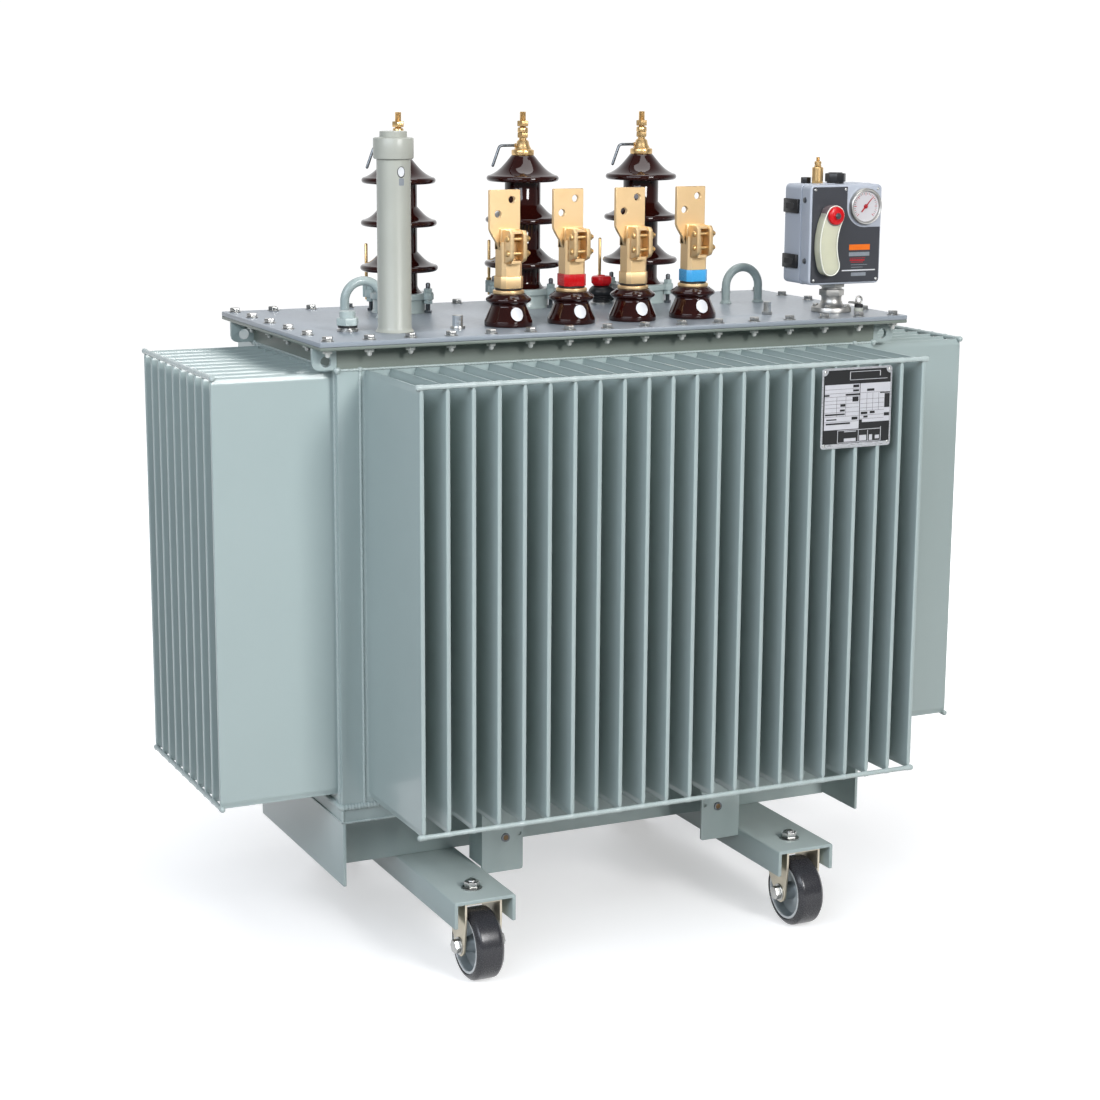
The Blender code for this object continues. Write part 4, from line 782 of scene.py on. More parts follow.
@dataclass
class Tank(SubAssembly):
    """Tank shell with its flange, lid, gasket, lid bolts and weld seams."""

    bolt_inset: float = 0.021
    long_row: int = 16
    short_row: int = 6
    head_radius: float = 0.0098
    head_height: float = 0.0068
    seam_height: float = 1.1055
    band_height: float = 0.3135

    def build(self) -> None:
        """Build the shell, the lid and everything bolted or welded along them."""
        self.soft("tank_shell", "tank", TANK_PAINT, Slot.PAINT, 0.0012)
        # The flange and the curb below carry paint darkened as painted shade under the lid.
        self.soft("tank_rim_flange", "tank_flange", CURB_PAINT_WITH_PAINTED_SHADE, Slot.PAINT, 0.0012)
        # The lid's bluer paint is a painted reflection.
        self.soft("lid_plate", "lid", LID_PAINT_WITH_PAINTED_REFLECTION, Slot.LID, 0.0012)
        self.build_gasket()
        self.build_curb()
        self.build_bolts()
        self.build_welds()

    def build_gasket(self) -> None:
        """Thin dark frame that closes the gap between flange and lid, just inside their rims."""
        low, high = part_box("tank_flange")
        lid_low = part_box("lid")[0]
        width, depth = high.x - low.x, high.y - low.y
        loops = [rounded(width - 0.0016, depth - 0.0016, 0.004),
                 rounded(width - 0.08, depth - 0.08, 0.004)]
        form = plate(loops, high.z - 0.0006, lid_low.z + 0.0006)
        self.add("lid_gasket", form, GASKET, Slot.BLACK)

    def build_curb(self) -> None:
        """Upright leg of the curb angle, a thin band round the tank from the seam to the flange."""
        low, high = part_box("support_frame")  # its sides are flush with the tank's
        width, depth = high.x - low.x, high.y - low.y
        loops = [rounded(width + 0.0012, depth + 0.0012, 0.001),
                 rounded(width - 0.02, depth - 0.02, 0.001)]
        form = plate(loops, self.seam_height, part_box("tank_flange")[0].z + 0.001)
        # Its darker paint is painted shade under the lid.
        self.add("curb_angle_leg", form, CURB_PAINT_WITH_PAINTED_SHADE, Slot.PAINT)

    def bolt_places(self) -> np.ndarray:
        """Points on the lid's rim: even rows along the long and the short sides.

        Returns:
            Array of offsets at height 0.
        """
        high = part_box("lid")[1]
        x, y = high.x - self.bolt_inset, high.y - self.bolt_inset
        along = np.linspace(-x, x, self.long_row)
        across = np.linspace(-y, y, self.short_row)[1:-1]
        rows = [np.stack([along, np.full(self.long_row, side * y)], 1) for side in (-1, 1)]
        rows += [np.stack([np.full(self.short_row - 2, side * x), across], 1) for side in (-1, 1)]
        flat = np.vstack(rows)
        return np.hstack([flat, np.zeros((len(flat), 1))])

    def build_bolts(self) -> None:
        """Bright heads on the lid, and pale nuts with their stud ends under the flange."""
        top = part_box("lid")[0].z + LID_THICKNESS
        heads = bolt(self.head_radius, self.head_height, self.head_radius * 1.18)
        places = self.bolt_places()
        self.add("lid_bolt_heads", heads.repeated(places + [0, 0, top]), BRIGHT_ZINC, Slot.ZINC)
        nut = bolt(self.head_radius * 0.92, 0.0055, self.head_radius * 1.1)
        tip = turned([(0, 0.0145), (0.0022, 0.014), (0.004, 0.0125), (0.0046, 0.0105),
                      (0.0046, 0.006), (0, 0.006)], 16)
        below = nut.join(tip).placed((0, 0, 0), Facing.DOWN)
        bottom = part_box("tank_flange")[0].z
        # The nuts' whiter coat is partly painted light that keeps them bright in the flange's
        # shade.
        self.add("lid_bolt_nuts", below.repeated(places + [0, 0, bottom]), NUT_COAT_WITH_PAINTED_LIGHT, Slot.ZINC)

    def build_welds(self) -> None:
        """Beads along the curb seam, the tank's bottom, its corners and the frame below it."""
        x, y, frame_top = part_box("support_frame")[1]
        form = Form()
        for height, radius in ((self.seam_height, 0.0024), (self.band_height, 0.0058),
                               (frame_top, 0.0024)):
            for side in (-1, 1):
                form.join(bead((-x, side * y, height), (x, side * y, height), radius, (0, 0, 1)))
                form.join(bead((side * x, -y, height), (side * x, y, height), radius, (0, 0, 1)))
        for side_x in (-1, 1):
            for side_y in (-1, 1):
                form.join(bead((side_x * x, side_y * y, frame_top),
                               (side_x * x, side_y * y, self.band_height), 0.003, (1, 0, 0)))
                for height in (self.seam_height, self.band_height):
                    form.join(self.blob((side_x * x, side_y * y, height), 0.0062))
        self.wall_beads(form, x, y)
        # The beads' paler paint is a painted highlight.
        self.add("tank_weld_beads", form, PALE_PAINT_AND_PAINTED_HIGHLIGHT, Slot.PAINT, sharp=70)

    def blob(self, place: Point, radius: float) -> Form:
        """Uneven ball of weld metal: its radius swings by a tenth with height.

        Args:
            place: Middle of the ball.
            radius: Mean radius.

        Returns:
            The ball.
        """
        turn = np.linspace(math.pi / 2, -math.pi / 2, 9)
        swell = radius * (1 + 0.1 * np.sin(turn * 3))
        return turned(np.stack([swell * np.cos(turn), swell * np.sin(turn)], 1), 14).placed(place)

    def wall_beads(self, form: Form, x: float, y: float) -> None:
        """Upright beads where each fin wall's back sheet ends on the tank.

        Args:
            form: Form that gets the beads.
            x: Half length of the tank.
            y: Half width of the tank.
        """
        long_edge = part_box("fin_wall_front")[1].x + 0.0005
        short_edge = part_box("fin_wall_right")[1].y + 0.0005
        for side_x in (-1, 1):
            for side_y in (-1, 1):
                for px, py, axis in ((side_x * long_edge, side_y * y, (0, 1, 0)),
                                     (side_x * x, side_y * short_edge, (1, 0, 0))):
                    form.join(bead((px, py, self.band_height), (px, py, self.seam_height), 0.0026,
                                   axis))
                    form.join(self.blob((px, py, self.band_height), 0.0056),
                              self.blob((px, py, self.seam_height), 0.005))


@dataclass
class FinWall(SubAssembly):
    """One corrugated wall: deep fins with flat round noses, and the two tie bars on them."""

    place: str
    facing: Facing
    count: int
    pitch: float
    thickness: float = 0.008
    sheet: float = 0.003
    crimp: float = 0.0024
    taper: float = 0.013
    bar_radius: float = 0.005
    overhang: float = 0.003

    def build(self) -> None:
        """Build the wall with its crimped fins, and the two tie bars."""
        node = f"fin_wall_{self.place}"
        low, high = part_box(node)
        is_long = self.facing in (Facing.FRONT, Facing.REAR)
        along = (high.x - low.x) if is_long else (high.y - low.y)
        reach = ((high.y - low.y) if is_long else (high.x - low.x)) - 0.0018
        centre = middle(node)
        root = {Facing.FRONT: (centre[0], high.y), Facing.REAR: (centre[0], low.y),
                Facing.LEFT: (high.x, centre[1]), Facing.RIGHT: (low.x, centre[1])}[self.facing]
        spin = {Facing.FRONT: 0, Facing.REAR: 180, Facing.LEFT: -90, Facing.RIGHT: 90}[self.facing]
        bottom = low.z + self.bar_radius
        top = high.z - self.bar_radius
        wall = plate([rounded(along, self.sheet, 0.0005, (0, -self.sheet / 2), 1)], bottom, top)
        wall.join(self.fin(reach, bottom, top).repeated(self.places()))
        origin = (*root, 0.0)
        self.add(f"fin_wall_sheet_{self.place}", wall.placed(origin, spin=spin), TANK_PAINT,
                 Slot.PAINT, stands_for=(node,), sharp=50)
        bars = self.bars(reach, bottom, top)
        # The bars' paler paint is a painted highlight.
        self.add(f"fin_tie_bars_{self.place}", bars.placed(origin, spin=spin), PALE_PAINT_AND_PAINTED_HIGHLIGHT,
                 Slot.PAINT)

    def places(self) -> np.ndarray:
        """Offsets of the fins along the wall."""
        x = (np.arange(self.count) - (self.count - 1) / 2) * self.pitch
        return np.stack([x, x * 0, x * 0], 1)

    def fin(self, reach: float, bottom: float, top: float) -> Form:
        """One fin: a flat pocket with a folded nose, pressed to a thin edge at top and bottom.

        Its half thickness is c + (t - c) (1 - cos(pi s)) / 2, where s is the share of the taper
        that is passed, c the crimped half and t the full half. The rows close on x = 0.

        Args:
            reach: Distance from the back to the fin tips.
            bottom: Height of the fin's foot.
            top: Height of the fin's top.

        Returns:
            The fin at x = 0.
        """
        share = np.linspace(0, 1, 7)
        rise = share * self.taper
        swell = (self.thickness - self.crimp) / 4
        half = self.crimp / 2 + swell * (1 - np.cos(math.pi * share))
        height = np.concatenate([[bottom - 0.0006], bottom + rise, top - rise[::-1],
                                 [top + 0.0006]])
        halves = np.concatenate([[0.0], half, half[::-1], [0.0]])[:, None]
        recess = 0.0012 * (1 - halves / halves.max())
        turn = np.radians(np.linspace(180, 360, 15))[None]
        across = np.sign(np.cos(turn)) * np.abs(np.cos(turn)) ** 0.62
        nose_x = halves * across
        nose_y = recess - reach + 0.7 * halves * (1 - np.abs(np.sin(turn)) ** 0.62)
        side = np.linspace(-0.001, 0.5, 4)[None]
        left = np.broadcast_to(-halves, (len(halves), 4))
        side_y = side * (recess - reach + 0.7 * halves)
        x = np.hstack([left, nose_x, -left[:, ::-1]])
        y = np.hstack([side_y, nose_y, side_y[:, ::-1]])
        z = np.broadcast_to(height[:, None], x.shape)
        return grid(np.stack([x, y, z], axis=-1))

    def bars(self, reach: float, bottom: float, top: float) -> Form:
        """Round tie bars along the fin tips, swollen to a weld dot at each fin.

        The radius is r (0.88 + 0.20 exp(-(d / w)^2) + 0.16 exp(-(e / w)^2)), where d and e are
        the distances to the nearest fin and to the bar's end, and w is 4 mm.

        Args:
            reach: Distance from the back to the fin tips.
            bottom: Height of the lower bar.
            top: Height of the upper bar.

        Returns:
            Both bars.
        """
        half = (self.count - 1) / 2 * self.pitch + self.thickness / 2 + self.overhang
        x = np.linspace(-half, half, self.count * 12 + 1)
        nearest = (np.arange(self.count) - (self.count - 1) / 2) * self.pitch
        gap = np.min(np.abs(x[:, None] - nearest[None]), axis=1)
        ends_gap = half - np.abs(x)
        radii = self.bar_radius * (0.88 + 0.2 * np.exp(-(gap / 0.004) ** 2)
                                   + 0.16 * np.exp(-(ends_gap / 0.004) ** 2))
        ends = np.linspace(0, math.pi / 2, 5)[1:]
        x = np.concatenate([-half - radii[0] * 0.8 * np.sin(ends)[::-1], x,
                            half + radii[-1] * 0.8 * np.sin(ends)])
        radii = np.concatenate([radii[0] * np.cos(ends)[::-1], radii, radii[-1] * np.cos(ends)])
        angle = np.linspace(0, 2 * math.pi, 14, endpoint=False)[None]
        centre_y = 0.0025 - reach
        points = np.stack([np.broadcast_to(x[:, None], (len(x), 14)),
                           centre_y + radii[:, None] * np.cos(angle),
                           radii[:, None] * np.sin(angle)], axis=-1)
        return grid(points).repeated(np.array([(0, 0, bottom), (0, 0, top)]))


@dataclass
class Nameplate(SubAssembly):
    """Bare rating plate on the front fins: a metal plate with a ruled, empty table."""

    proud: float = 0.0004
    side: float = 0.0035
    bottom: float = 0.0085
    corner: float = 0.011

    def build(self) -> None:
        """Build the plate, its black lacquer, the light fields and the corner screws."""
        low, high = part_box("nameplate")
        width, height = high.x - low.x, high.z - low.z
        origin = ((low.x + high.x) / 2, low.y, (low.z + high.z) / 2)
        back = (origin[0], high.y, origin[2])
        sheet = plate([rounded(width, height, 0.006)], 0, high.y - low.y, 0.0004)
        self.add("rating_plate_sheet", sheet.placed(back, Facing.FRONT), PLATE_METAL, Slot.PLATE,
                 stands_for=("nameplate",))
        black = plate([self.lacquer(width, height)], 0, self.proud / 2)
        self.add("rating_plate_lacquer", black.placed(origin, Facing.FRONT), PLATE_INK, Slot.PLATE)
        light, dark = self.table(width, height)
        self.add("rating_plate_fields", light.placed(origin, Facing.FRONT), PLATE_FIELD,
                 Slot.PLATE)
        self.add("rating_plate_cells", dark.placed(origin, Facing.FRONT), PLATE_INK, Slot.PLATE)
        corners = [(sx * (width / 2 - 0.0065), sy * (height / 2 - 0.0065), 0)
                   for sx in (-1, 1) for sy in (-1, 1)]
        screws = Form()
        for corner in corners:
            screws.join(screw(0.0034).placed(corner))
        self.add("rating_plate_screws", screws.placed(origin, Facing.FRONT), BRIGHT_ZINC,
                 Slot.ZINC)

    def lacquer(self, width: float, height: float) -> np.ndarray:
        """Outline of the black area, which leaves a round bare land at the two upper screws.

        Args:
            width: Width of the plate.
            height: Height of the plate.

        Returns:
            The loop.
        """
        x = width / 2 - self.side
        top = height / 2 - 0.004
        base = self.bottom - height / 2
        land = self.corner - 0.0015
        return np.vstack([[(-x, base), (x, base)], arc((x, top), land, 270, 180, 8),
                          arc((-x, top), land, 360, 270, 8)])

    def table(self, width: float, height: float) -> tuple[Form, Form]:
        """Empty light fields, and the small dark cells and lines between them.

        Places are in thousandths of the plate from its upper left corner.

        Args:
            width: Width of the plate.
            height: Height of the plate.

        Returns:
            The light and the dark forms.
        """
        light_areas = [(40, 205, 535, 720), (545, 205, 975, 690), (40, 720, 535, 765),
                       (390, 52, 830, 58), (390, 52, 400, 158), (390, 152, 930, 158),
                       (820, 52, 830, 120), (235, 775, 242, 935), (235, 928, 860, 935),
                       (850, 755, 858, 935), (242, 775, 850, 782), (530, 775, 537, 930),
                       (665, 790, 672, 930), (330, 880, 500, 920), (550, 850, 650, 920),
                       (690, 850, 735, 920), (775, 860, 835, 905), (330, 790, 500, 800)]
        dark_areas = [(440, 215, 525, 250), (440, 275, 525, 300), (640, 275, 745, 305),
                      (35, 325, 105, 345), (335, 325, 545, 347), (830, 325, 975, 340),
                      (435, 365, 520, 425), (895, 345, 970, 520), (265, 450, 335, 480),
                      (260, 515, 330, 540), (50, 565, 330, 585), (560, 560, 655, 590),
                      (690, 555, 760, 585), (600, 610, 660, 635), (895, 585, 970, 625),
                      (430, 615, 515, 650), (70, 630, 215, 645), (65, 680, 410, 700),
                      (540, 655, 580, 705)]
        rows = [(45, level, 530, level + 3) for level in
                (262, 312, 355, 402, 445, 492, 548, 600, 665)]
        rows += [(550, level, 890, level + 3) for level in (320, 400, 455, 510, 545, 600, 645)]
        rows += [(share, 330, share + 3, 545) for share in (640, 725, 810)]
        rows += [(share, 360, share + 3, 600) for share in (210, 340)]
        return (self.areas(light_areas, width, height, 0.7),
                self.areas(dark_areas + rows, width, height, 1.2))

    def areas(self, shares: list[tuple[int, int, int, int]], width: float, height: float,
              lift: float) -> Form:
        """Thin rectangles at the given shares of the plate.

        Args:
            shares: Left, top, right and bottom of each, in thousandths.
            width: Width of the plate.
            height: Height of the plate.
            lift: Height of their faces, in units of the proud height.

        Returns:
            The rectangles.
        """
        form = Form()
        for left, top, right, bottom in np.array(shares) / 1000:
            centre = ((left + right - 1) / 2 * width, (1 - top - bottom) / 2 * height)
            loop = rounded((right - left) * width, (bottom - top) * height, 0.0001, centre, 1)
            form.join(plate([loop], 0, self.proud * lift))
        return form


@dataclass
class HvBushing(SubAssembly):
    """High-voltage bushing: turret, clamp ring, shedded porcelain, brass cap and two horns."""

    number: int
    arm_angle: float
    turret_radius: float = 0.051
    ring_low: float = 0.025
    ring_high: float = 0.037
    ring_radius: float = 0.056
    lobe_circle: float = 0.0595
    lobe_radius: float = 0.011
    neck: float = 0.035
    top_radius: float = 0.0215
    body_top: float = 0.2935
    rims: tuple[tuple[float, float], ...] = ((0.0745, 0.084), (0.0725, 0.169), (0.0705, 0.249))
    rim_nose: float = 0.006
    slope: float = 0.024
    fall: float = 1.4
    horn_radius: float = 0.0028
    rod_circle: float = 0.081

    def build(self) -> None:
        """Build the bushing on the lid, over the CAD nodes of the same number."""
        x, y, _ = middle(f"hv_porcelain_{self.number}")
        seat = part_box(f"hv_mount_{self.number}")[0].z
        origin = (x, y, seat)
        number = self.number
        self.add(f"hv_clamp_ring_{number}", self.clamp().placed(origin), TANK_PAINT, Slot.PAINT,
                 stands_for=(f"hv_mount_{number}",))
        self.add(f"hv_glazed_body_{number}", turned(self.porcelain(), 72).placed(origin),
                 PORCELAIN, Slot.PORCELAIN, stands_for=(f"hv_porcelain_{number}",), sharp=60)
        self.add(f"hv_brass_cap_{number}", self.cap().placed(origin), TURNED_BRASS, Slot.BRASS,
                 stands_for=(f"hv_terminal_{number}",))
        self.add(f"hv_upper_horn_{number}", self.horn().placed(origin), DARK_STEEL, Slot.STAINLESS)
        self.add(f"hv_studs_{number}", self.studs().placed(origin), DARK_STEEL, Slot.ZINC)
        self.add(f"hv_lower_horn_{number}", self.rod().placed(origin, spin=self.arm_angle),
                 TURNED_BRASS, Slot.BRASS)

    def porcelain(self) -> np.ndarray:
        """Profile from the top down: slopes drop as (1 - s)^fall, and rims are round noses.

        Returns:
            Array of (radius, height).
        """
        parts = [np.array([(0, self.body_top), (self.top_radius, self.body_top)])]
        for position, (rim, height) in enumerate(reversed(self.rims)):
            first = position == 0
            start = self.top_radius if first else self.neck
            nose = rim - self.rim_nose
            lean = math.radians(68)
            edge = nose + self.rim_nose * math.cos(lean)
            peak = height + self.rim_nose * math.sin(lean)
            rise = self.body_top - peak if first else self.slope + 0.001
            share = np.linspace(0, 1, 18)
            radius = start + (edge - start) * share
            parts.append(np.stack([radius, peak + rise * (1 - share) ** self.fall
                                   - 0.0016 * np.sin(share * math.pi) ** 2], 1))
            parts.append(arc((nose, height), self.rim_nose, 62, -90, 12))
            under = np.linspace(0, 1, 6)
            back = nose + (self.neck - nose) * under
            belly = height - self.rim_nose + 0.003 * np.sin(under * 2.4)
            parts.append(np.stack([back, belly], 1)[1:])
        turn = np.linspace(0, 1, 8)
        base = self.ring_high - 0.001
        flare = np.stack([self.neck + 0.01 * turn ** 2, base + 0.015 * (1 - turn)], 1)
        parts += [flare, np.array([(self.neck + 0.01, base - 0.0005), (0, base - 0.0005)])]
        return np.vstack(parts)

    def clamp(self) -> Form:
        """Turret with its weld foot, the lobed ring, four nuts on it and the arm of the horn.

        Returns:
            The painted parts.
        """
        turret = turned([(self.turret_radius, self.ring_low), (self.turret_radius, 0.005),
                         (self.turret_radius + 0.002, 0.0015), (self.turret_radius + 0.004, 0)])
        form = Form().join(turret, plate([self.lobes()], self.ring_low, self.ring_high, 0.0018, 3))
        cone = prism(0.0088, 0.0385, 0.0465, 0.0011, 2).join(
            turned([(0.0098, 0.0388), (0.0103, 0.0383), (0.0103, 0.0368)], 24))
        boss = prism(0.0092, 0.017, 0.0252, 0.0012, 2)
        places = quarters(self.lobe_circle)
        form.join(cone.repeated(places), boss.repeated(places))
        middle_x = (0.046 + self.rod_circle + 0.006) / 2
        arm = plate([rounded(self.rod_circle + 0.006 - 0.046, 0.012, 0.005, (middle_x, 0))],
                    self.ring_high - 0.006, self.ring_high - 0.001, 0.0008)
        clamp_nut = prism(0.0078, self.ring_high - 0.014, self.ring_high + 0.01, 0.0012, 2)
        clamp_nut = clamp_nut.placed((self.rod_circle, 0, 0))
        form.join(Form().join(arm, clamp_nut).placed(spin=self.arm_angle))
        return form

    def lobes(self) -> np.ndarray:
        """Outline of the ring: arcs about the axis joined by arcs round four bolt holes.

        Returns:
            The loop.
        """
        ring_r, circle_r, lobe_r = self.ring_radius, self.lobe_circle, self.lobe_radius
        cosine = (ring_r ** 2 + circle_r ** 2 - lobe_r ** 2) / (2 * ring_r * circle_r)
        meet = math.acos(cosine)
        spread = math.degrees(math.atan2(ring_r * math.sin(meet), ring_r * cosine - circle_r))
        half = math.degrees(meet)
        parts = []
        for angle in (45, 135, 225, 315):
            turn = math.radians(angle)
            centre = (circle_r * math.cos(turn), circle_r * math.sin(turn))
            parts.append(arc(centre, lobe_r, angle - spread, angle + spread, 12))
            parts.append(arc((0, 0), ring_r, angle + half, angle + 90 - half, 16)[1:-1])
        return np.vstack(parts)

    def studs(self) -> Form:
        """Dark stud ends over the nuts and the studs that run down to the lid.

        Returns:
            The studs.
        """
        end = turned([(0, 0.0575), (0.0022, 0.0572), (0.004, 0.056), (0.0044, 0.0545),
                      (0.0044, 0.046), (0, 0.046)], 16)
        shank = threaded(0.0044, 0, 0.018, 0.0016, 14)
        foot_nut = prism(0.0075, 0.0, 0.005, 0.0006)
        return Form().join(end, shank, foot_nut).repeated(quarters(self.lobe_circle))

    def cap(self) -> Form:
        """Brass cap, two hexagon nuts and the threaded stud, with the small horn screw.

        Returns:
            The brass parts.
        """
        top = self.body_top
        cone = turned([(0.008, 0.3225), (0.0092, 0.3215), (0.0115, 0.3195), (0.013, 0.312),
                       (0.0168, 0.3045), (0.018, 0.304), (0.0214, 0.303), (0.0219, 0.302),
                       (0.0219, top + 0.001), (0.0214, top)])
        neck = turned([(0.0072, 0.345), (0.0072, 0.318)], 32)
        lower = prism(0.0112, 0.3262, 0.336, 0.001, 2)
        upper = turned([(0.0092, 0.346), (0.0102, 0.3445), (0.0104, 0.3375), (0.0096, 0.3362)], 40)
        nut = prism(0.0118, 0.348, 0.3588, 0.001, 2)
        stud = threaded(0.0062, 0.345, 0.376, 0.0018, 28)
        side = bolt(0.0038, 0.003, 0.0044, 0.001).placed((-0.0148, 0, 0.3118), Facing.LEFT)
        return Form().join(cone, neck, lower, upper, nut, stud, side)

    def horn(self) -> Form:
        """Bent steel rod: out of the cap, then down in one bend of 8 mm radius.

        Returns:
            The rod.
        """
        bend = arc((-0.0435, 0.3038), 0.008, 90, 157, 10)
        path = np.vstack([[(-0.012, 0.3118)], bend, [(-0.0635, 0.2738)]])
        return swept(upright(path), self.horn_radius, (0, 1, 0), 14)

    def rod(self) -> Form:
        """Threaded lower horn on the arm, with its lock nut.

        Returns:
            The rod.
        """
        rod = turned([(0, 0.1263), (0.002, 0.126), (0.0031, 0.1245), (0.0031, 0.06),
                      (0.0028, 0.058), (0.0028, 0.018), (0, 0.018)], 16)
        nut = prism(0.0058, self.ring_high + 0.01, self.ring_high + 0.015, 0.0006)
        return Form().join(rod, nut).placed((self.rod_circle, 0, 0))


@dataclass
class LvBushing(SubAssembly):
    """Low-voltage bushing: glazed cone and bead, coloured nut, split clamp and drilled palm."""

    number: int
    nut_finish: Finish
    base_radius: float = 0.0442
    neck_radius: float = 0.0325
    bead_radius: float = 0.0418
    palm_width: float = 0.06
    palm_height: float = 0.069
    palm_thickness: float = 0.0085
    palm_offset: float = -0.009
    hole_in: float = 0.0165
    hole_radius: float = 0.0065
    clamp_low: float = 0.1128
    clamp_high: float = 0.1758
    ear_reach: float = 0.045
    ear_outer: float = 0.0168
    ear_inner: float = 0.0088
    shank: float = 0.04

    def build(self) -> None:
        """Build the bushing on the lid, over the CAD nodes of the same number."""
        number = self.number
        origin = foot(f"lv_porcelain_{number}")
        self.add(f"lv_glazed_body_{number}", turned(self.porcelain(), 72).placed(origin),
                 PORCELAIN, Slot.PORCELAIN, stands_for=(f"lv_porcelain_{number}",), sharp=60)
        self.add(f"lv_seal_ring_{number}", self.seal().placed(origin), O_RING, Slot.BLACK)
        nut = plate([rounded(0.044, 0.044, 0.007, steps=1)], 0.0683, 0.0903, 0.001, 2)
        self.add(f"lv_nut_{number}", nut.placed(origin), self.nut_finish, Slot.BRASS)
        self.add(f"lv_brass_terminal_{number}", self.terminal().placed(origin), CAST_BRASS,
                 Slot.BRASS, stands_for=(f"lv_terminal_{number}",))
        self.add(f"lv_clamp_bolts_{number}", self.bolts().placed(origin), TURNED_BRASS, Slot.BRASS)
        self.add(f"lv_phase_sticker_{number}", self.sticker().placed(origin), WHITE_FOIL,
                 Slot.GAUGE)

    def porcelain(self) -> np.ndarray:
        """Profile of the cone and the bead above its neck, the bead a rounded bulge.

        Returns:
            Array of (radius, height).
        """
        shoulder = arc((0.03, 0.0545), 0.0035, 90, 20, 4)
        bulge = arc((self.bead_radius - 0.0045, 0.0478), 0.0045, 50, -60, 8)
        waist = arc((self.neck_radius + 0.0035, 0.0372), 0.0035, 120, 215, 6)
        base = arc((self.base_radius - 0.002, 0.0085), 0.002, 30, 0, 3)
        return np.vstack([[(0, 0.058), (0.027, 0.058)], shoulder, bulge, waist, base,
                          [(self.base_radius, 0.0012), (self.base_radius - 0.0012, 0), (0, 0)]])

    def seal(self) -> Form:
        """Black seal between the brass ring and the nut: a torus squeezed flat."""
        return turned([(0, 0.069), (0.0215, 0.069), (0.0242, 0.0678), (0.0248, 0.0665),
                       (0.0242, 0.0652), (0, 0.064)], 48)

    def terminal(self) -> Form:
        """Brass ring, shank, clamp with its two ears, and the palm.

        Returns:
            The cast parts.
        """
        collar = turned([(0.027, 0.0648), (0.0284, 0.064), (0.0288, 0.0615), (0.0284, 0.059),
                         (0.027, 0.058)])
        shank = plate([rounded(self.shank, self.shank, 0.006, steps=1)], 0.09, 0.153, 0.0006)
        upper = plate([rounded(self.shank, 0.03, 0.003, (0, 0.005), steps=2)], 0.137,
                      self.clamp_high - 0.001, 0.001, 2)
        return Form().join(collar, shank, upper, self.ears(), self.roof(), self.palm())

    def ears(self) -> Form:
        """Two upright ears with cut front corners, standing off the shank towards the front.

        Returns:
            The ears.
        """
        low, high, out = self.clamp_low, self.clamp_high, self.ear_reach
        side = np.array([(-0.01, high - 0.002), (0.006 - out, high - 0.002), (-out, high - 0.008),
                         (-out, low + 0.013), (0.004 - out, low + 0.007), (-0.022, low + 0.001),
                         (-0.01, low + 0.001)])
        thick = self.ear_outer - self.ear_inner
        ear = plate([side], 0, thick, 0.0012, 2)
        right = ear.placed((self.ear_inner, 0, 0), Facing.RIGHT)
        left = ear.placed((-self.ear_outer, 0, 0), Facing.RIGHT)
        return Form().join(left, right)

    def roof(self) -> Form:
        """Bridge that closes the slot at its top and its foot.

        Returns:
            The bridge.
        """
        wide = 2 * self.ear_inner + 0.002
        top = plate([rounded(wide, 0.024, 0.001, (0, -0.026), 1)], self.clamp_high - 0.008,
                    self.clamp_high - 0.003, 0.0004)
        low = plate([rounded(wide, 0.018, 0.001, (0, -0.026), 1)], self.clamp_low + 0.001,
                    self.clamp_low + 0.007, 0.0004)
        return Form().join(top, low)

    def palm(self) -> Form:
        """Flat palm with two holes, whose left edge sweeps in to the shank by a cosine.

        Returns:
            The palm.
        """
        left = self.palm_offset - self.palm_width / 2
        right = self.palm_offset + self.palm_width / 2
        low = self.clamp_high
        high = low + self.palm_height
        root = -self.shank / 2 + 0.001
        share = np.linspace(0, 1, 12)
        drop = 0.045
        sweep = np.stack([left + (root - left) * np.sin(share * math.pi / 2) ** 1.5,
                          low - drop * share], 1)
        corner = arc((left + 0.002, high - 0.002), 0.002, 180, 90, 3)[::-1]
        edge = self.shank / 2 - 0.001
        loop = np.vstack([corner, sweep, [(edge, low - drop), (edge, low - 0.006),
                                          (right, low + 0.001), (right, high - 0.001),
                                          (right - 0.001, high)]])
        holes = [ring((right - self.hole_in, high - 0.018), self.hole_radius),
                 ring((left + self.hole_in, high - 0.0435), self.hole_radius)]
        half = self.palm_thickness / 2
        return plate([loop] + holes, -half, half, 0.0007).placed((0, 0, 0), Facing.FRONT)

    def bolts(self) -> Form:
        """Two clamp bolts along X with round heads on the left and nuts on the right.

        Returns:
            The bolts.
        """
        head = turned([(0, 0.0046), (0.003, 0.0044), (0.005, 0.0034), (0.0058, 0.0015),
                       (0.0058, 0), (0, 0)], 24)
        nut = bolt(0.0066, 0.005, 0.0072, 0.001).join(threaded(0.0036, 0.005, 0.0095, 0.0012, 14))
        shaft = turned([(0.0036, 0.034), (0.0036, 0)], 16)
        form = Form()
        for height in (self.clamp_high - 0.017, self.clamp_high - 0.043):
            y = 0.011 - self.ear_reach
            form.join(head.placed((-self.ear_outer, y, height), Facing.LEFT),
                      nut.placed((self.ear_outer, y, height), Facing.RIGHT),
                      shaft.placed((-self.ear_outer, y, height), Facing.RIGHT))
        return form

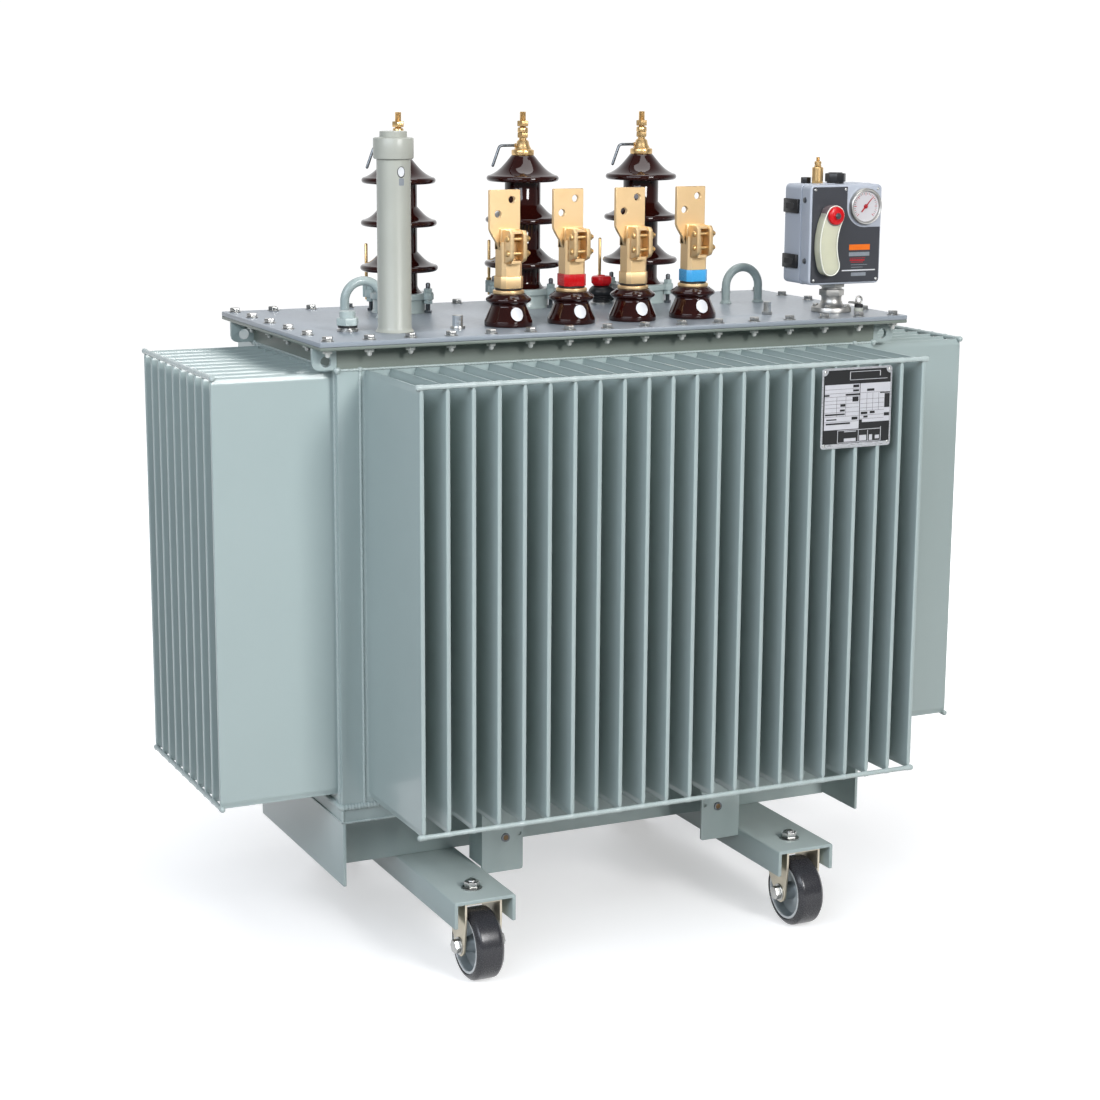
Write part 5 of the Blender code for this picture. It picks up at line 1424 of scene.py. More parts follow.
    def sticker(self) -> Form:
        """Bare round sticker bent over the cone: a disc in angle and height on its slope.

        Returns:
            The sticker.
        """
        centre_height, radius = 0.0235, 0.0118
        share = np.linspace(0, 1, 7)[:, None]
        angle = np.linspace(0, 2 * math.pi, 32, endpoint=False)[None]
        rise = centre_height + share * radius * np.sin(angle)
        slope = (self.base_radius - self.neck_radius) / (0.0372 - 0.0095)
        cone = self.base_radius - (rise - 0.0095) * slope
        swing = share * radius * np.cos(angle) / cone - math.pi / 2
        under, over = (np.stack([(cone + lift) * np.cos(swing), (cone + lift) * np.sin(swing),
                                 rise + lift * 0.4], axis=-1) for lift in (0.0001, 0.0006))
        return grid(np.concatenate([under, over[::-1]]))


@dataclass
class TapChanger(SubAssembly):
    """Tap changer: black ribbed base and the lobed red hand knob that turns on it."""

    knob_radius: float = 0.0215
    lobes: int = 6

    def build(self) -> None:
        """Build the base and the knob over their CAD nodes."""
        origin = foot("tap_changer_base")
        base = turned([(0.012, 0.0365), (0.019, 0.0345), (0.025, 0.028), (0.0259, 0.0245),
                       (0.025, 0.0212), (0.0215, 0.0182), (0.0212, 0.0172), (0.0235, 0.0162),
                       (0.0235, 0.015), (0.0205, 0.0138), (0.0205, 0.0126), (0.0218, 0.0116),
                       (0.0218, 0.0104), (0.0172, 0.0092), (0.0172, 0.003)])
        self.add("tap_changer_socket", base.placed(origin), BLACK_PLASTIC, Slot.BLACK,
                 stands_for=("tap_changer_base",))
        foot_ring = turned([(0.0205, 0.0035), (0.0212, 0.0028), (0.0212, 0)])
        self.add("tap_changer_foot_ring", foot_ring.placed(origin), BRIGHT_ZINC, Slot.ZINC)
        low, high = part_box("tap_changer_knob")
        self.add("tap_changer_handle", self.knob(high.z - low.z).placed(foot("tap_changer_knob")),
                 RED_PLASTIC, Slot.RED, body="tap_knob", stands_for=("tap_changer_knob",))

    def knob(self, height: float) -> Form:
        """Knob whose radius swings as R (1 - 0.07 (1 - cos(n a)) / 2), drawn in at both rims.

        Args:
            height: Height of the knob.

        Returns:
            The knob.
        """
        profile = np.array([(0.0, 1.0), (0.3, 1.0), (0.34, 0.9), (0.8, 0.9), (0.93, 0.85),
                            (1.0, 0.72), (1.0, 0.3), (0.95, 0.18), (0.86, 0.12), (0.8, 0.0),
                            (0.0, 0.0)])
        angle = np.linspace(0, 2 * math.pi, 72, endpoint=False)[None]
        swing = 1 - 0.07 * (1 - np.cos(self.lobes * angle)) / 2
        share = profile[:, :1]
        radius = self.knob_radius * share * (1 + (swing - 1) * np.clip(share - 0.4, 0, 1) / 0.6)
        points = np.stack([radius * np.cos(angle), radius * np.sin(angle),
                           np.broadcast_to(profile[:, 1:] * height, radius.shape)], axis=-1)
        return grid(points)


@dataclass
class LidFittings(SubAssembly):
    """Filler pipe, lifting eyes, thermometer pocket, stud bosses and the small ring valve."""

    pipe_radius: float = 0.03
    cap_radius: float = 0.0357
    eye_radius: float = 0.0085
    eye_spacing: float = 0.074
    valve_place: tuple[float, float] = (0.5465, -0.18)
    stud_places: tuple[tuple[float, float], ...] = ((-0.2905, -0.16), (0.3525, -0.16))

    def build(self) -> None:
        """Build every small fitting on the lid."""
        self.build_filler()
        self.build_eyes()
        self.build_pocket()
        self.build_studs()
        self.build_valve()

    def build_filler(self) -> None:
        """Pipe with its weld foot, the screwed cap and the bare tag."""
        origin = foot("filler_pipe")
        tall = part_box("filler_pipe")[1].z - origin[2]
        r = self.pipe_radius
        pipe = turned([(r, tall), (r, 0.008), (r + 0.0015, 0.004), (r + 0.0045, 0.0005),
                       (r + 0.0045, 0)], 72)
        self.add("filler_tube", pipe.placed(origin), BRUSHED_PAINT, Slot.PAINT,
                 stands_for=("filler_pipe",))
        cap_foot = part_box("filler_cap")[0].z
        c = self.cap_radius
        cap = turned([(0.0232, 0.048), (0.0242, 0.047), (0.0242, 0.038), (c - 0.0025, 0.037),
                      (c - 0.0008, 0.0362), (c, 0.0345), (c, 0.0025), (c - 0.0008, 0.0008),
                      (c - 0.0025, 0)], 72)
        self.add("filler_screw_cap", cap.placed((*origin[:2], cap_foot)), BRUSHED_PAINT,
                 Slot.PAINT, stands_for=("filler_cap",))
        self.build_tag(origin, tall)

    def build_tag(self, origin: Point, tall: float) -> None:
        """Bare tag bent round the pipe: a disc over a small square on its wall.

        Args:
            origin: Foot of the pipe.
            tall: Height of the pipe.
        """
        oval = ring((0, 0), 1.0, 28) * (0.0075, 0.01) + (0.0025, tall - 0.0215)
        inner = ring((0, 0), 1.0, 28) * (0.006, 0.0082) + (0.0025, tall - 0.021)
        square = rounded(0.0095, 0.0125, 0.0008, (0.003, tall - 0.0385), 1)
        for name, loop, lift, finish in (("filler_tag_rim", oval, 0.0005, INK_DARK),
                                         ("filler_tag_face", inner, 0.0009, WHITE_FOIL),
                                         ("filler_tag_square", square, 0.0006, GREY_FOIL)):
            form = plate([loop], 0, lift)
            swing = form.points[:, 0] / self.pipe_radius - math.pi / 2
            radius = self.pipe_radius - 0.0002 + form.points[:, 2]
            bent = np.stack([radius * np.cos(swing), radius * np.sin(swing), form.points[:, 1]], 1)
            self.add(name, Form(bent, form.blocks).placed(origin), finish, Slot.PLATE)

    def build_eyes(self) -> None:
        """Two eyes of bent round bar: straight legs and a half circle, with weld feet."""
        half = self.eye_spacing / 2
        for side in ("left", "right"):
            node = f"lifting_eye_{side}"
            low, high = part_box(node)
            spring = high.z - low.z - self.eye_radius - half
            bow = arc((0, spring), half, 180, 0, 28)
            path = np.vstack([[(-half, 0)], bow, [(half, 0)]])
            bar = swept(upright(path), self.eye_radius, (0, 1, 0), 20, round_ends=False)
            weld = turned([(self.eye_radius, 0.006), (self.eye_radius + 0.002, 0.003),
                           (self.eye_radius + 0.004, 0)], 24)
            bar.join(weld.repeated(np.array([(-half, 0, 0), (half, 0, 0)])))
            self.add(f"lifting_eye_bar_{side}", bar.placed(foot(node)), TANK_PAINT, Slot.PAINT,
                     stands_for=(node,))

    def build_pocket(self) -> None:
        """Capped thermometer pocket: pale cap and hexagon over a black seal and a zinc base."""
        origin = foot("thermometer_pocket")
        cap = turned([(0.0132, 0.036), (0.0145, 0.035), (0.0145, 0.024)], 40)
        cap.join(prism(0.0205, 0.0105, 0.024, 0.0014, 2))
        self.add("pocket_cap", cap.placed(origin), PALE_PAINT_AND_PAINTED_HIGHLIGHT, Slot.PAINT,
                 stands_for=("thermometer_pocket",))
        seal = turned([(0.0175, 0.0108), (0.0175, 0.0065)], 40)
        self.add("pocket_seal", seal.placed(origin), O_RING, Slot.BLACK)
        base = turned([(0.014, 0.0066), (0.014, 0.0042), (0.0188, 0.004), (0.019, 0.0005),
                       (0.0186, 0)], 40)
        self.add("pocket_base", base.placed(origin), BRIGHT_ZINC, Slot.ZINC)

    def build_studs(self) -> None:
        """Bright threaded sleeves over the lid's two stud bosses."""
        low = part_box("lid")[0].z + LID_THICKNESS
        left = threaded(0.0099, 0.004, 0.0246, 0.003, 32).join(
            turned([(0.0128, 0.005), (0.0132, 0.004), (0.0132, 0)], 32))
        right = threaded(0.0077, 0.005, 0.0246, 0.0025, 28).join(prism(0.0112, 0, 0.006, 0.0006))
        for side, sleeve, place in zip(("left", "right"), (left, right), self.stud_places):
            self.add(f"lid_stud_{side}_sleeve", sleeve.placed((*place, low)), BRIGHT_ZINC,
                     Slot.ZINC)

    def build_valve(self) -> None:
        """Sampling valve with a ring pull: a bright base, a black collar and a small ring."""
        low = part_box("lid")[0].z + LID_THICKNESS
        origin = (*self.valve_place, low)
        base = plate([ring((0, 0), 0.0088, 32)], 0, 0.0078, 0.0006)
        self.add("sampling_valve_base", base.placed(origin), BRUSHED_PAINT, Slot.PAINT)
        collar = turned([(0.0078, 0.0142), (0.0085, 0.0134), (0.0085, 0.0078)], 32)
        self.add("sampling_valve_collar", collar.placed(origin), O_RING, Slot.BLACK)
        loop = ring((0, 0.0222), 0.0066, 32)
        pull = swept(upright(np.vstack([loop, loop[:2]])), 0.002, (0, 1, 0), 12, round_ends=False)
        bar = upright([(-0.006, 0.0165), (-0.014, 0.018), (-0.022, 0.0185)])
        handle = swept(bar, 0.0024, (0, 1, 0), 12)
        self.add("sampling_valve_ring", pull.join(handle).placed(origin), STAINLESS,
                 Slot.STAINLESS)


@dataclass
class Relay(SubAssembly):
    """Protection relay: cast box on a turned stand, front panel, gauge, float window, fittings."""

    width: float = 0.16
    depth: float = 0.094
    cover: float = 0.032
    corner: float = 0.01
    x: float = field(init=False)
    front: float = field(init=False)
    back: float = field(init=False)
    bottom: float = field(init=False)
    top: float = field(init=False)
    height: float = field(init=False)

    def build(self) -> None:
        """Take the relay's place from its CAD housing, then build it part by part."""
        low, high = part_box("relay_housing")
        self.x = (low.x + high.x) / 2
        self.bottom, self.top = low.z, high.z
        self.front, self.back = low.y, high.y
        self.height = high.z - low.z
        self.build_box()
        self.build_panel()
        self.build_gauge()
        self.build_window()
        self.build_labels()
        self.build_top()
        self.build_stand()

    def build_box(self) -> None:
        """Cast back box and front cover, with a narrow seam between them, clips and screws."""
        origin = (self.x, self.back, (self.bottom + self.top) / 2)
        seam = self.depth - self.cover
        outline = rounded(self.width, self.height, self.corner, steps=6)
        back_box = plate([outline], 0, seam - 0.0008, 0.004, 4)
        cover = plate([outline], seam + 0.0008, self.depth, 0.0035, 4)
        inner = rounded(self.width - 0.003, self.height - 0.003, self.corner - 0.001, steps=6)
        core = plate([inner], seam - 0.006, seam + 0.006)
        lip = plate([rounded(self.width + 0.0016, self.height + 0.0016, self.corner, steps=6)],
                    seam - 0.006, seam - 0.0012, 0.0008)
        form = Form().join(back_box, cover, core, lip).placed(origin, Facing.FRONT)
        self.add("relay_cast_box", form, RELAY_COAT, Slot.RELAY, stands_for=("relay_housing",))
        clips, screws = Form(), Form()
        for side, facing in ((-1, Facing.LEFT), (1, Facing.RIGHT)):
            edge = self.x + side * self.width / 2
            for drop in (0.0415, 0.1465):
                height = self.top - drop
                block = plate([rounded(0.051, 0.0265, 0.0015, steps=2)], -0.001, 0.0055, 0.001, 2)
                rib = plate([rounded(0.03, 0.012, 0.001, steps=1)], 0.0055, 0.0068, 0.0005)
                centre = (edge, self.back - 0.0295, height)
                clips.join(block.placed(centre, facing), rib.placed(centre, facing))
            for y, z in ((self.front + 0.019, self.top - 0.029),
                         (self.front + 0.015, self.bottom + 0.045)):
                screws.join(bolt(0.0048, 0.0022, 0.0056, 0.0008).placed((edge, y, z), facing))
        self.add("relay_side_clips", clips, BLACK_PLASTIC, Slot.BLACK)
        self.add("relay_side_screws", screws, DARK_STEEL, Slot.STAINLESS)

    def build_panel(self) -> None:
        """Dark panel cut away in an arc about the gauge, with five small screws."""
        gauge = middle("relay_gauge")
        low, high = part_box("relay_panel")
        left, right = low.x, high.x
        floor, ceiling = low.z, high.z
        cut = 0.0395
        r = 0.003
        loop = np.vstack([
            arc((left + r, floor + r), r, 180, 270, 3), arc((right - r, floor + r), r, 270, 360, 3),
            [(right, gauge[2] - cut)], arc((gauge[0], gauge[2]), cut, 270, 180, 18),
            [(gauge[0] - cut, ceiling)], arc((left + r, ceiling - r), r, 90, 180, 3)])
        panel = plate([loop], 0, 0.0015, 0.0004).placed((0, high.y, 0), Facing.FRONT)
        self.add("relay_front_panel", panel, PANEL, Slot.BLACK, stands_for=("relay_panel",))
        spots = np.array([(left + 0.006, low.y, ceiling - 0.005),
                          (gauge[0] - cut - 0.004, low.y, ceiling - 0.005),
                          (right - 0.0055, high.y, ceiling - 0.005),
                          (left + 0.006, low.y, floor + 0.005),
                          (right - 0.0055, low.y, floor + 0.005)])
        head = screw(0.003).placed((0, 0, 0), Facing.FRONT)
        self.add("relay_panel_screws", head.repeated(spots), BRIGHT_ZINC, Slot.ZINC)

    def build_gauge(self) -> None:
        """Gauge: stainless bezel, white card, printed scale and a red pointer."""
        low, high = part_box("relay_gauge")
        centre = ((low.x + high.x) / 2, high.y, (low.z + high.z) / 2)
        bezel = turned([(0.0292, 0.0035), (0.0292, 0.0078), (0.03, 0.0092), (0.0316, 0.01),
                        (0.0334, 0.0092), (0.0344, 0.0074), (0.0345, 0), (0.0292, 0),
                        (0.0292, 0.0035)], 72)
        self.add("gauge_bezel", bezel.placed(centre, Facing.FRONT), STAINLESS, Slot.GAUGE,
                 stands_for=("relay_gauge",))
        card = turned([(0.0293, 0.004), (0.0293, 0)], 64)
        self.add("gauge_card", card.placed(centre, Facing.FRONT), DIAL, Slot.GAUGE)
        ticks, reds = Form(), Form()
        for step in range(31):
            turn = 225 - step * 9
            long = step % 5 == 0
            mark = plate([rounded(0.0056 if long else 0.0036, 0.0012 if long else 0.0008, 0.0002,
                                  (0.0232 if long else 0.0242, 0), 1)], 0.0039, 0.0043)
            target = reds if long or step % 2 else ticks
            target.join(mark.placed(spin=turn))
        self.add("gauge_scale_dark", ticks.placed(centre, Facing.FRONT), INK_DARK, Slot.GAUGE)
        needle = plate([np.array([(-0.014, 0.001), (0.0, 0.0014), (0.02, 0.0004),
                                  (0.02, -0.0004), (0.0, -0.0014), (-0.014, -0.001)])],
                       0.0052, 0.0058).placed(spin=48)
        hub = turned([(0, 0.0076), (0.003, 0.0074), (0.004, 0.006), (0.004, 0.004),
                      (0, 0.004)], 24)
        reds.join(needle, hub)
        self.add("gauge_scale_and_pointer", reds.placed(centre, Facing.FRONT), INK_RED, Slot.RED)

    def bean(self, half: float) -> np.ndarray:
        """Closed bean-shaped loop: a band of the given half width along an arc, round at its ends.

        Args:
            half: Half of the band's width.

        Returns:
            The loop of (x, z) points.
        """
        top_x, _, top_z = middle("relay_test_knob")
        radius, start, end = 0.122, 153.2, 198.6
        first, last = math.radians(start), math.radians(end)
        centre = (top_x - radius * math.cos(first), top_z - radius * math.sin(first))
        foot_point = (centre[0] + radius * math.cos(last), centre[1] + radius * math.sin(last))
        return np.vstack([arc(centre, radius + half, start, end, 22),
                          arc(foot_point, half, end, end + 180, 14)[1:-1],
                          arc(centre, radius - half, end, start, 22),
                          arc((top_x, top_z), half, start - 180, start, 14)[1:-1]])

    def build_window(self) -> None:
        """Float window: cream chamber, clear cover with a raised rim, smoked head, red knob."""
        low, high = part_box("relay_float_window")
        back = (0, high.y, 0)
        deep = high.y - low.y
        cover = plate([self.bean(0.0195)], 0, deep, 0.003, 4)
        self.add("float_window_cover", cover.placed(back, Facing.FRONT), CLEAR, Slot.CLEAR,
                 stands_for=("relay_float_window",))
        liner = plate([self.bean(0.016)], 0.0004, deep - 0.003, 0.0015, 2)
        self.add("float_window_liner", liner.placed(back, Facing.FRONT), CREAM, Slot.CLEAR)
        rim = plate([self.bean(0.0194), self.bean(0.0176)], deep - 0.001, deep + 0.0013, 0.0005)
        self.add("float_window_rim", rim.placed(back, Facing.FRONT), FROSTED, Slot.CLEAR)
        knob_x, _, knob_z = middle("relay_test_knob")
        head = plate([ring((knob_x, knob_z), 0.02, 48)], 0.0, deep + 0.0006, 0.002, 2)
        self.add("float_window_head", head.placed(back, Facing.FRONT), SMOKED, Slot.CLEAR)
        knob_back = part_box("relay_test_knob")[1].y
        knob = turned([(0.0066, 0.0085), (0.0074, 0.0078), (0.0078, 0.0066), (0.01, 0.0062),
                       (0.0152, 0.0058), (0.0166, 0.0046), (0.0171, 0.0022), (0.0171, -0.0004)], 56)
        self.add("relay_red_knob", knob.placed((knob_x, knob_back, knob_z), Facing.FRONT),
                 RED_PLASTIC, Slot.RED, stands_for=("relay_test_knob",))
        button = prism(0.0062, 0.008, 0.0112, 0.0006).join(
            plate([ring((0, 0), 0.0034, 24)], 0.011, 0.012, 0.0004))
        self.add("relay_knob_button", button.placed((knob_x, knob_back, knob_z), Facing.FRONT),
                 DARK_STEEL, Slot.STAINLESS)

    def build_labels(self) -> None:
        """Bare labels of the panel: one orange, three grey and a white rule."""
        face = (0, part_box("relay_panel")[0].y, 0)
        labels = (("orange", ORANGE_FOIL, ((0.503, 0.5496, 1.2812, 1.2919),)),
                  ("red", INK_RED, ((0.505, 0.54, 1.2655, 1.2664),
                                    (0.5055, 0.5385, 1.2605, 1.2632),
                                    (0.508, 0.535, 1.2575, 1.2586))),
                  ("grey", GREY_FOIL, ((0.503, 0.549, 1.2697, 1.2772),
                                       (0.508, 0.545, 1.2528, 1.2536),
                                       (0.509, 0.535, 1.248, 1.2489),
                                       (0.509, 0.542, 1.2317, 1.2382))),
                  ("white", WHITE_FOIL, ((0.488, 0.563, 1.2416, 1.2438),)))
        for name, finish, areas in labels:
            form = Form()
            for x0, x1, z0, z1 in areas:
                centre = ((x0 + x1) / 2, (z0 + z1) / 2)
                form.join(plate([rounded(x1 - x0, z1 - z0, 0.0005, centre, 2)], 0, 0.0004))
            self.add(f"relay_label_{name}", form.placed(face, Facing.FRONT), finish, Slot.PLATE)

    def build_top(self) -> None:
        """Brass bleed valve, black cable plug and the small plug behind them."""
        origin = foot("relay_bleed_valve")
        valve = prism(0.0118, 0, 0.0055, 0.0006)
        valve.join(turned([(0.0094, 0.031), (0.0106, 0.0298), (0.0106, 0.005)], 40))
        valve.join(prism(0.0076, 0.031, 0.0345, 0.0005),
                   turned([(0.0048, 0.0425), (0.0066, 0.0412), (0.0068, 0.038),
                           (0.0056, 0.0345)], 32),
                   threaded(0.0036, 0.042, 0.05, 0.0012, 20))
        self.add("relay_brass_valve", valve.placed(origin), TURNED_BRASS, Slot.BRASS,
                 stands_for=("relay_bleed_valve",))
        plug_foot = foot("relay_cable_plug")
        plug = plate([ring((0, 0), 0.0165, 40)], 0, 0.004, 0.0005)
        plug.join(plate([ring((0, 0), 0.02, 8)], 0.003, 0.019, 0.0012, 2))
        plug.join(plate([ring((0, 0), 0.0135, 32)], 0.0185, 0.0205, 0.0005))
        self.add("relay_gland_plug", plug.placed(plug_foot, spin=22.5), BLACK_PLASTIC, Slot.BLACK,
                 stands_for=("relay_cable_plug",))
        small = plate([ring((0, 0), 0.0098, 8)], 0, 0.011, 0.001, 2)
        small = small.placed((origin[0] - 0.009, self.back - 0.02, plug_foot[2]), spin=22.5)
        self.add("relay_small_plug", small, BLACK_PLASTIC, Slot.BLACK)

    def build_stand(self) -> None:
        """Turned stainless stand: flange, cone, neck, hexagon nut and coupling."""
        origin = foot("relay_stand")
        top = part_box("relay_stand")[1].z - origin[2] + 0.0002
        stand = turned([(0.0205, top), (0.021, top - 0.001), (0.021, 0.048), (0.0195, 0.047),
                        (0.0195, 0.044), (0.0205, 0.043), (0.0205, 0.03), (0.0195, 0.0285),
                        (0.0195, 0.0215), (0.0225, 0.015), (0.0275, 0.0105), (0.033, 0.0092),
                        (0.038, 0.0088), (0.0385, 0.008), (0.0385, 0.0005), (0.038, 0)], 72)
        stand.join(prism(0.0248, 0.0475, top - 0.0005, 0.0012, 2).placed(spin=12))
        stand.join(prism(0.0242, 0.031, 0.043, 0.001, 2).placed(spin=34))
        stand.join(bolt(0.0062, 0.0048, 0.0072, 0.001).repeated(quarters(0.031, 0.0085)))
        self.add("relay_turned_stand", stand.placed(origin), STAINLESS, Slot.STAINLESS,
                 stands_for=("relay_stand",))


@dataclass
class Undercarriage(SubAssembly):
    """Support frame, skid channels and brackets, softened, with their nuts and earth screws."""

    nut_inset: float = 0.062
    boss_out: float = 0.048
    boss_rise: float = 0.052

    def build(self) -> None:
        """Build the painted steelwork under the tank."""
        self.soft("support_frame_plates", "support_frame", TANK_PAINT, Slot.PAINT, 0.001)
        nuts = Form()
        for side in ("left", "right"):
            node = f"skid_channel_{side}"
            self.soft(f"skid_channel_{side}_steel", node, TANK_PAINT, Slot.PAINT, 0.001)
            low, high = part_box(node)
            for end in (-1, 1):
                place = ((low.x + high.x) / 2, end * (high.y - self.nut_inset), high.z)
                nuts.join(domed_nut(0.0145, 0.0115).placed(place, spin=12 * end))
        self.add("castor_cap_nuts", nuts, BRIGHT_ZINC, Slot.ZINC)
        screws, rings = Form(), Form()
        for place in ("front_left", "front_right", "rear_left", "rear_right"):
            node = f"jacking_bracket_{place}"
            self.soft(f"jacking_bracket_{place}_steel", node, TANK_PAINT, Slot.PAINT, 0.0006)
            low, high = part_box(node)
            front = "front" in place
            x = low.x + self.boss_out if "left" in place else high.x - self.boss_out
            y = low.y if front else high.y
            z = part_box("skid_channel_left")[1].z + self.boss_rise
            facing = Facing.FRONT if front else Facing.REAR
            boss = turned([(0.0052, 0.0006), (0.0062, 0.0014), (0.008, 0.001), (0.0086, -0.0015),
                           (0.0052, -0.0015), (0.0052, 0.0006)], 32)
            rings.join(boss.placed((x, y, z), facing))
            tip = turned([(0.004, 0.001), (0.0052, 0.0002), (0.0052, -0.001)], 24)
            screws.join(tip.placed((x, y, z), facing))
        self.add("earth_boss_rings", rings, DARK_STEEL, Slot.ZINC)
        self.add("earth_boss_screws", screws, AGED_BRASS, Slot.BRASS)


@dataclass
class Castor(SubAssembly):
    """One fixed castor: moulded tread, cast rim with a bright lip, pressed fork, axle bolt."""

    place: str
    radius: float = 0.066
    width: float = 0.054
    tread: float = 0.013
    lip: float = 0.004
    play: float = 0.005
    fork_sheet: float = 0.0045

    def build(self) -> None:
        """Build the wheel on its own body and the fork on the transformer."""
        body = f"wheel_{self.place}"
        centre = middle(f"wheel_tyre_{self.place}")
        half = self.width / 2
        self.add(f"wheel_tread_{self.place}", self.tread_form().placed(centre, Facing.RIGHT),
                 TREAD, Slot.TYRE, body, (f"wheel_tyre_{self.place}",))
        self.add(f"wheel_cast_rim_{self.place}", self.rim_form().placed(centre, Facing.RIGHT),
                 RIM, Slot.RIM, body, (f"wheel_rim_{self.place}",))
        inner = self.radius - self.tread
        lip = turned([(inner - self.lip, half - 0.004), (inner - self.lip, half - 0.0012),
                      (inner - 0.0012, half - 0.0006), (inner + 0.0004, half - 0.0014),
                      (inner + 0.0004, half - 0.004), (inner - self.lip, half - 0.004)], 72)
        both = Form().join(lip.placed(centre, Facing.RIGHT), lip.placed(centre, Facing.LEFT))
        self.add(f"wheel_rim_lips_{self.place}", both, RIM_LIP, Slot.RIM, body)
        node = f"castor_fork_{self.place}"
        self.soft(f"castor_fork_{self.place}_steel", node, ZINC, Slot.ZINC, 0.0008)
        outside = bolt(0.0132, 0.0105, 0.0165, 0.0024)
        leg = half + self.play + self.fork_sheet
        heads = Form().join(outside.placed((centre[0] - leg, *centre[1:]), Facing.LEFT),
                            outside.placed((centre[0] + leg, *centre[1:]), Facing.RIGHT))
        self.add(f"axle_bolt_{self.place}", heads, BRIGHT_ZINC, Slot.ZINC)

    def tread_form(self) -> Form:
        """Tread ring about X: nearly flat, with bevelled shoulders of 6 mm.

        Returns:
            The ring about its own Z axis.
        """
        half, outer, inner = self.width / 2, self.radius, self.radius - self.tread
        upper = np.array([(outer - 0.008, half - 0.0004), (outer - 0.0062, half - 0.0016),
                          (outer - 0.0022, half - 0.0056), (outer - 0.0008, half - 0.007),
                          (outer - 0.0002, half - 0.0088), (outer, half - 0.012)])
        profile = np.vstack([[(inner, half - 0.003)], [(inner + 0.002, half - 0.0002)], upper,
                             upper[::-1] * (1, -1), [(inner + 0.002, 0.0002 - half)],
                             [(inner, 0.003 - half)], [(inner, half - 0.003)]])
        return turned(profile, 96)

    def rim_form(self) -> Form:
        """Rim: a flat seat, a dished web and a round hub, the same on both sides.

        Returns:
            The rim about its own Z axis.
        """
        half, seat = self.width / 2, self.radius - self.tread
        side = [(0.0066, half + 0.0035), (0.0135, half + 0.0035), (0.015, half + 0.002),
                (0.0155, 0.013), (0.0175, 0.0095), (0.023, 0.0075), (0.036, 0.0075),
                (0.044, 0.0105), (seat - 0.0045, half - 0.004), (seat - 0.0002, half - 0.004)]
        mirrored = [(radius, -height) for radius, height in reversed(side)]
        return turned(side + mirrored + side[:1], 72)


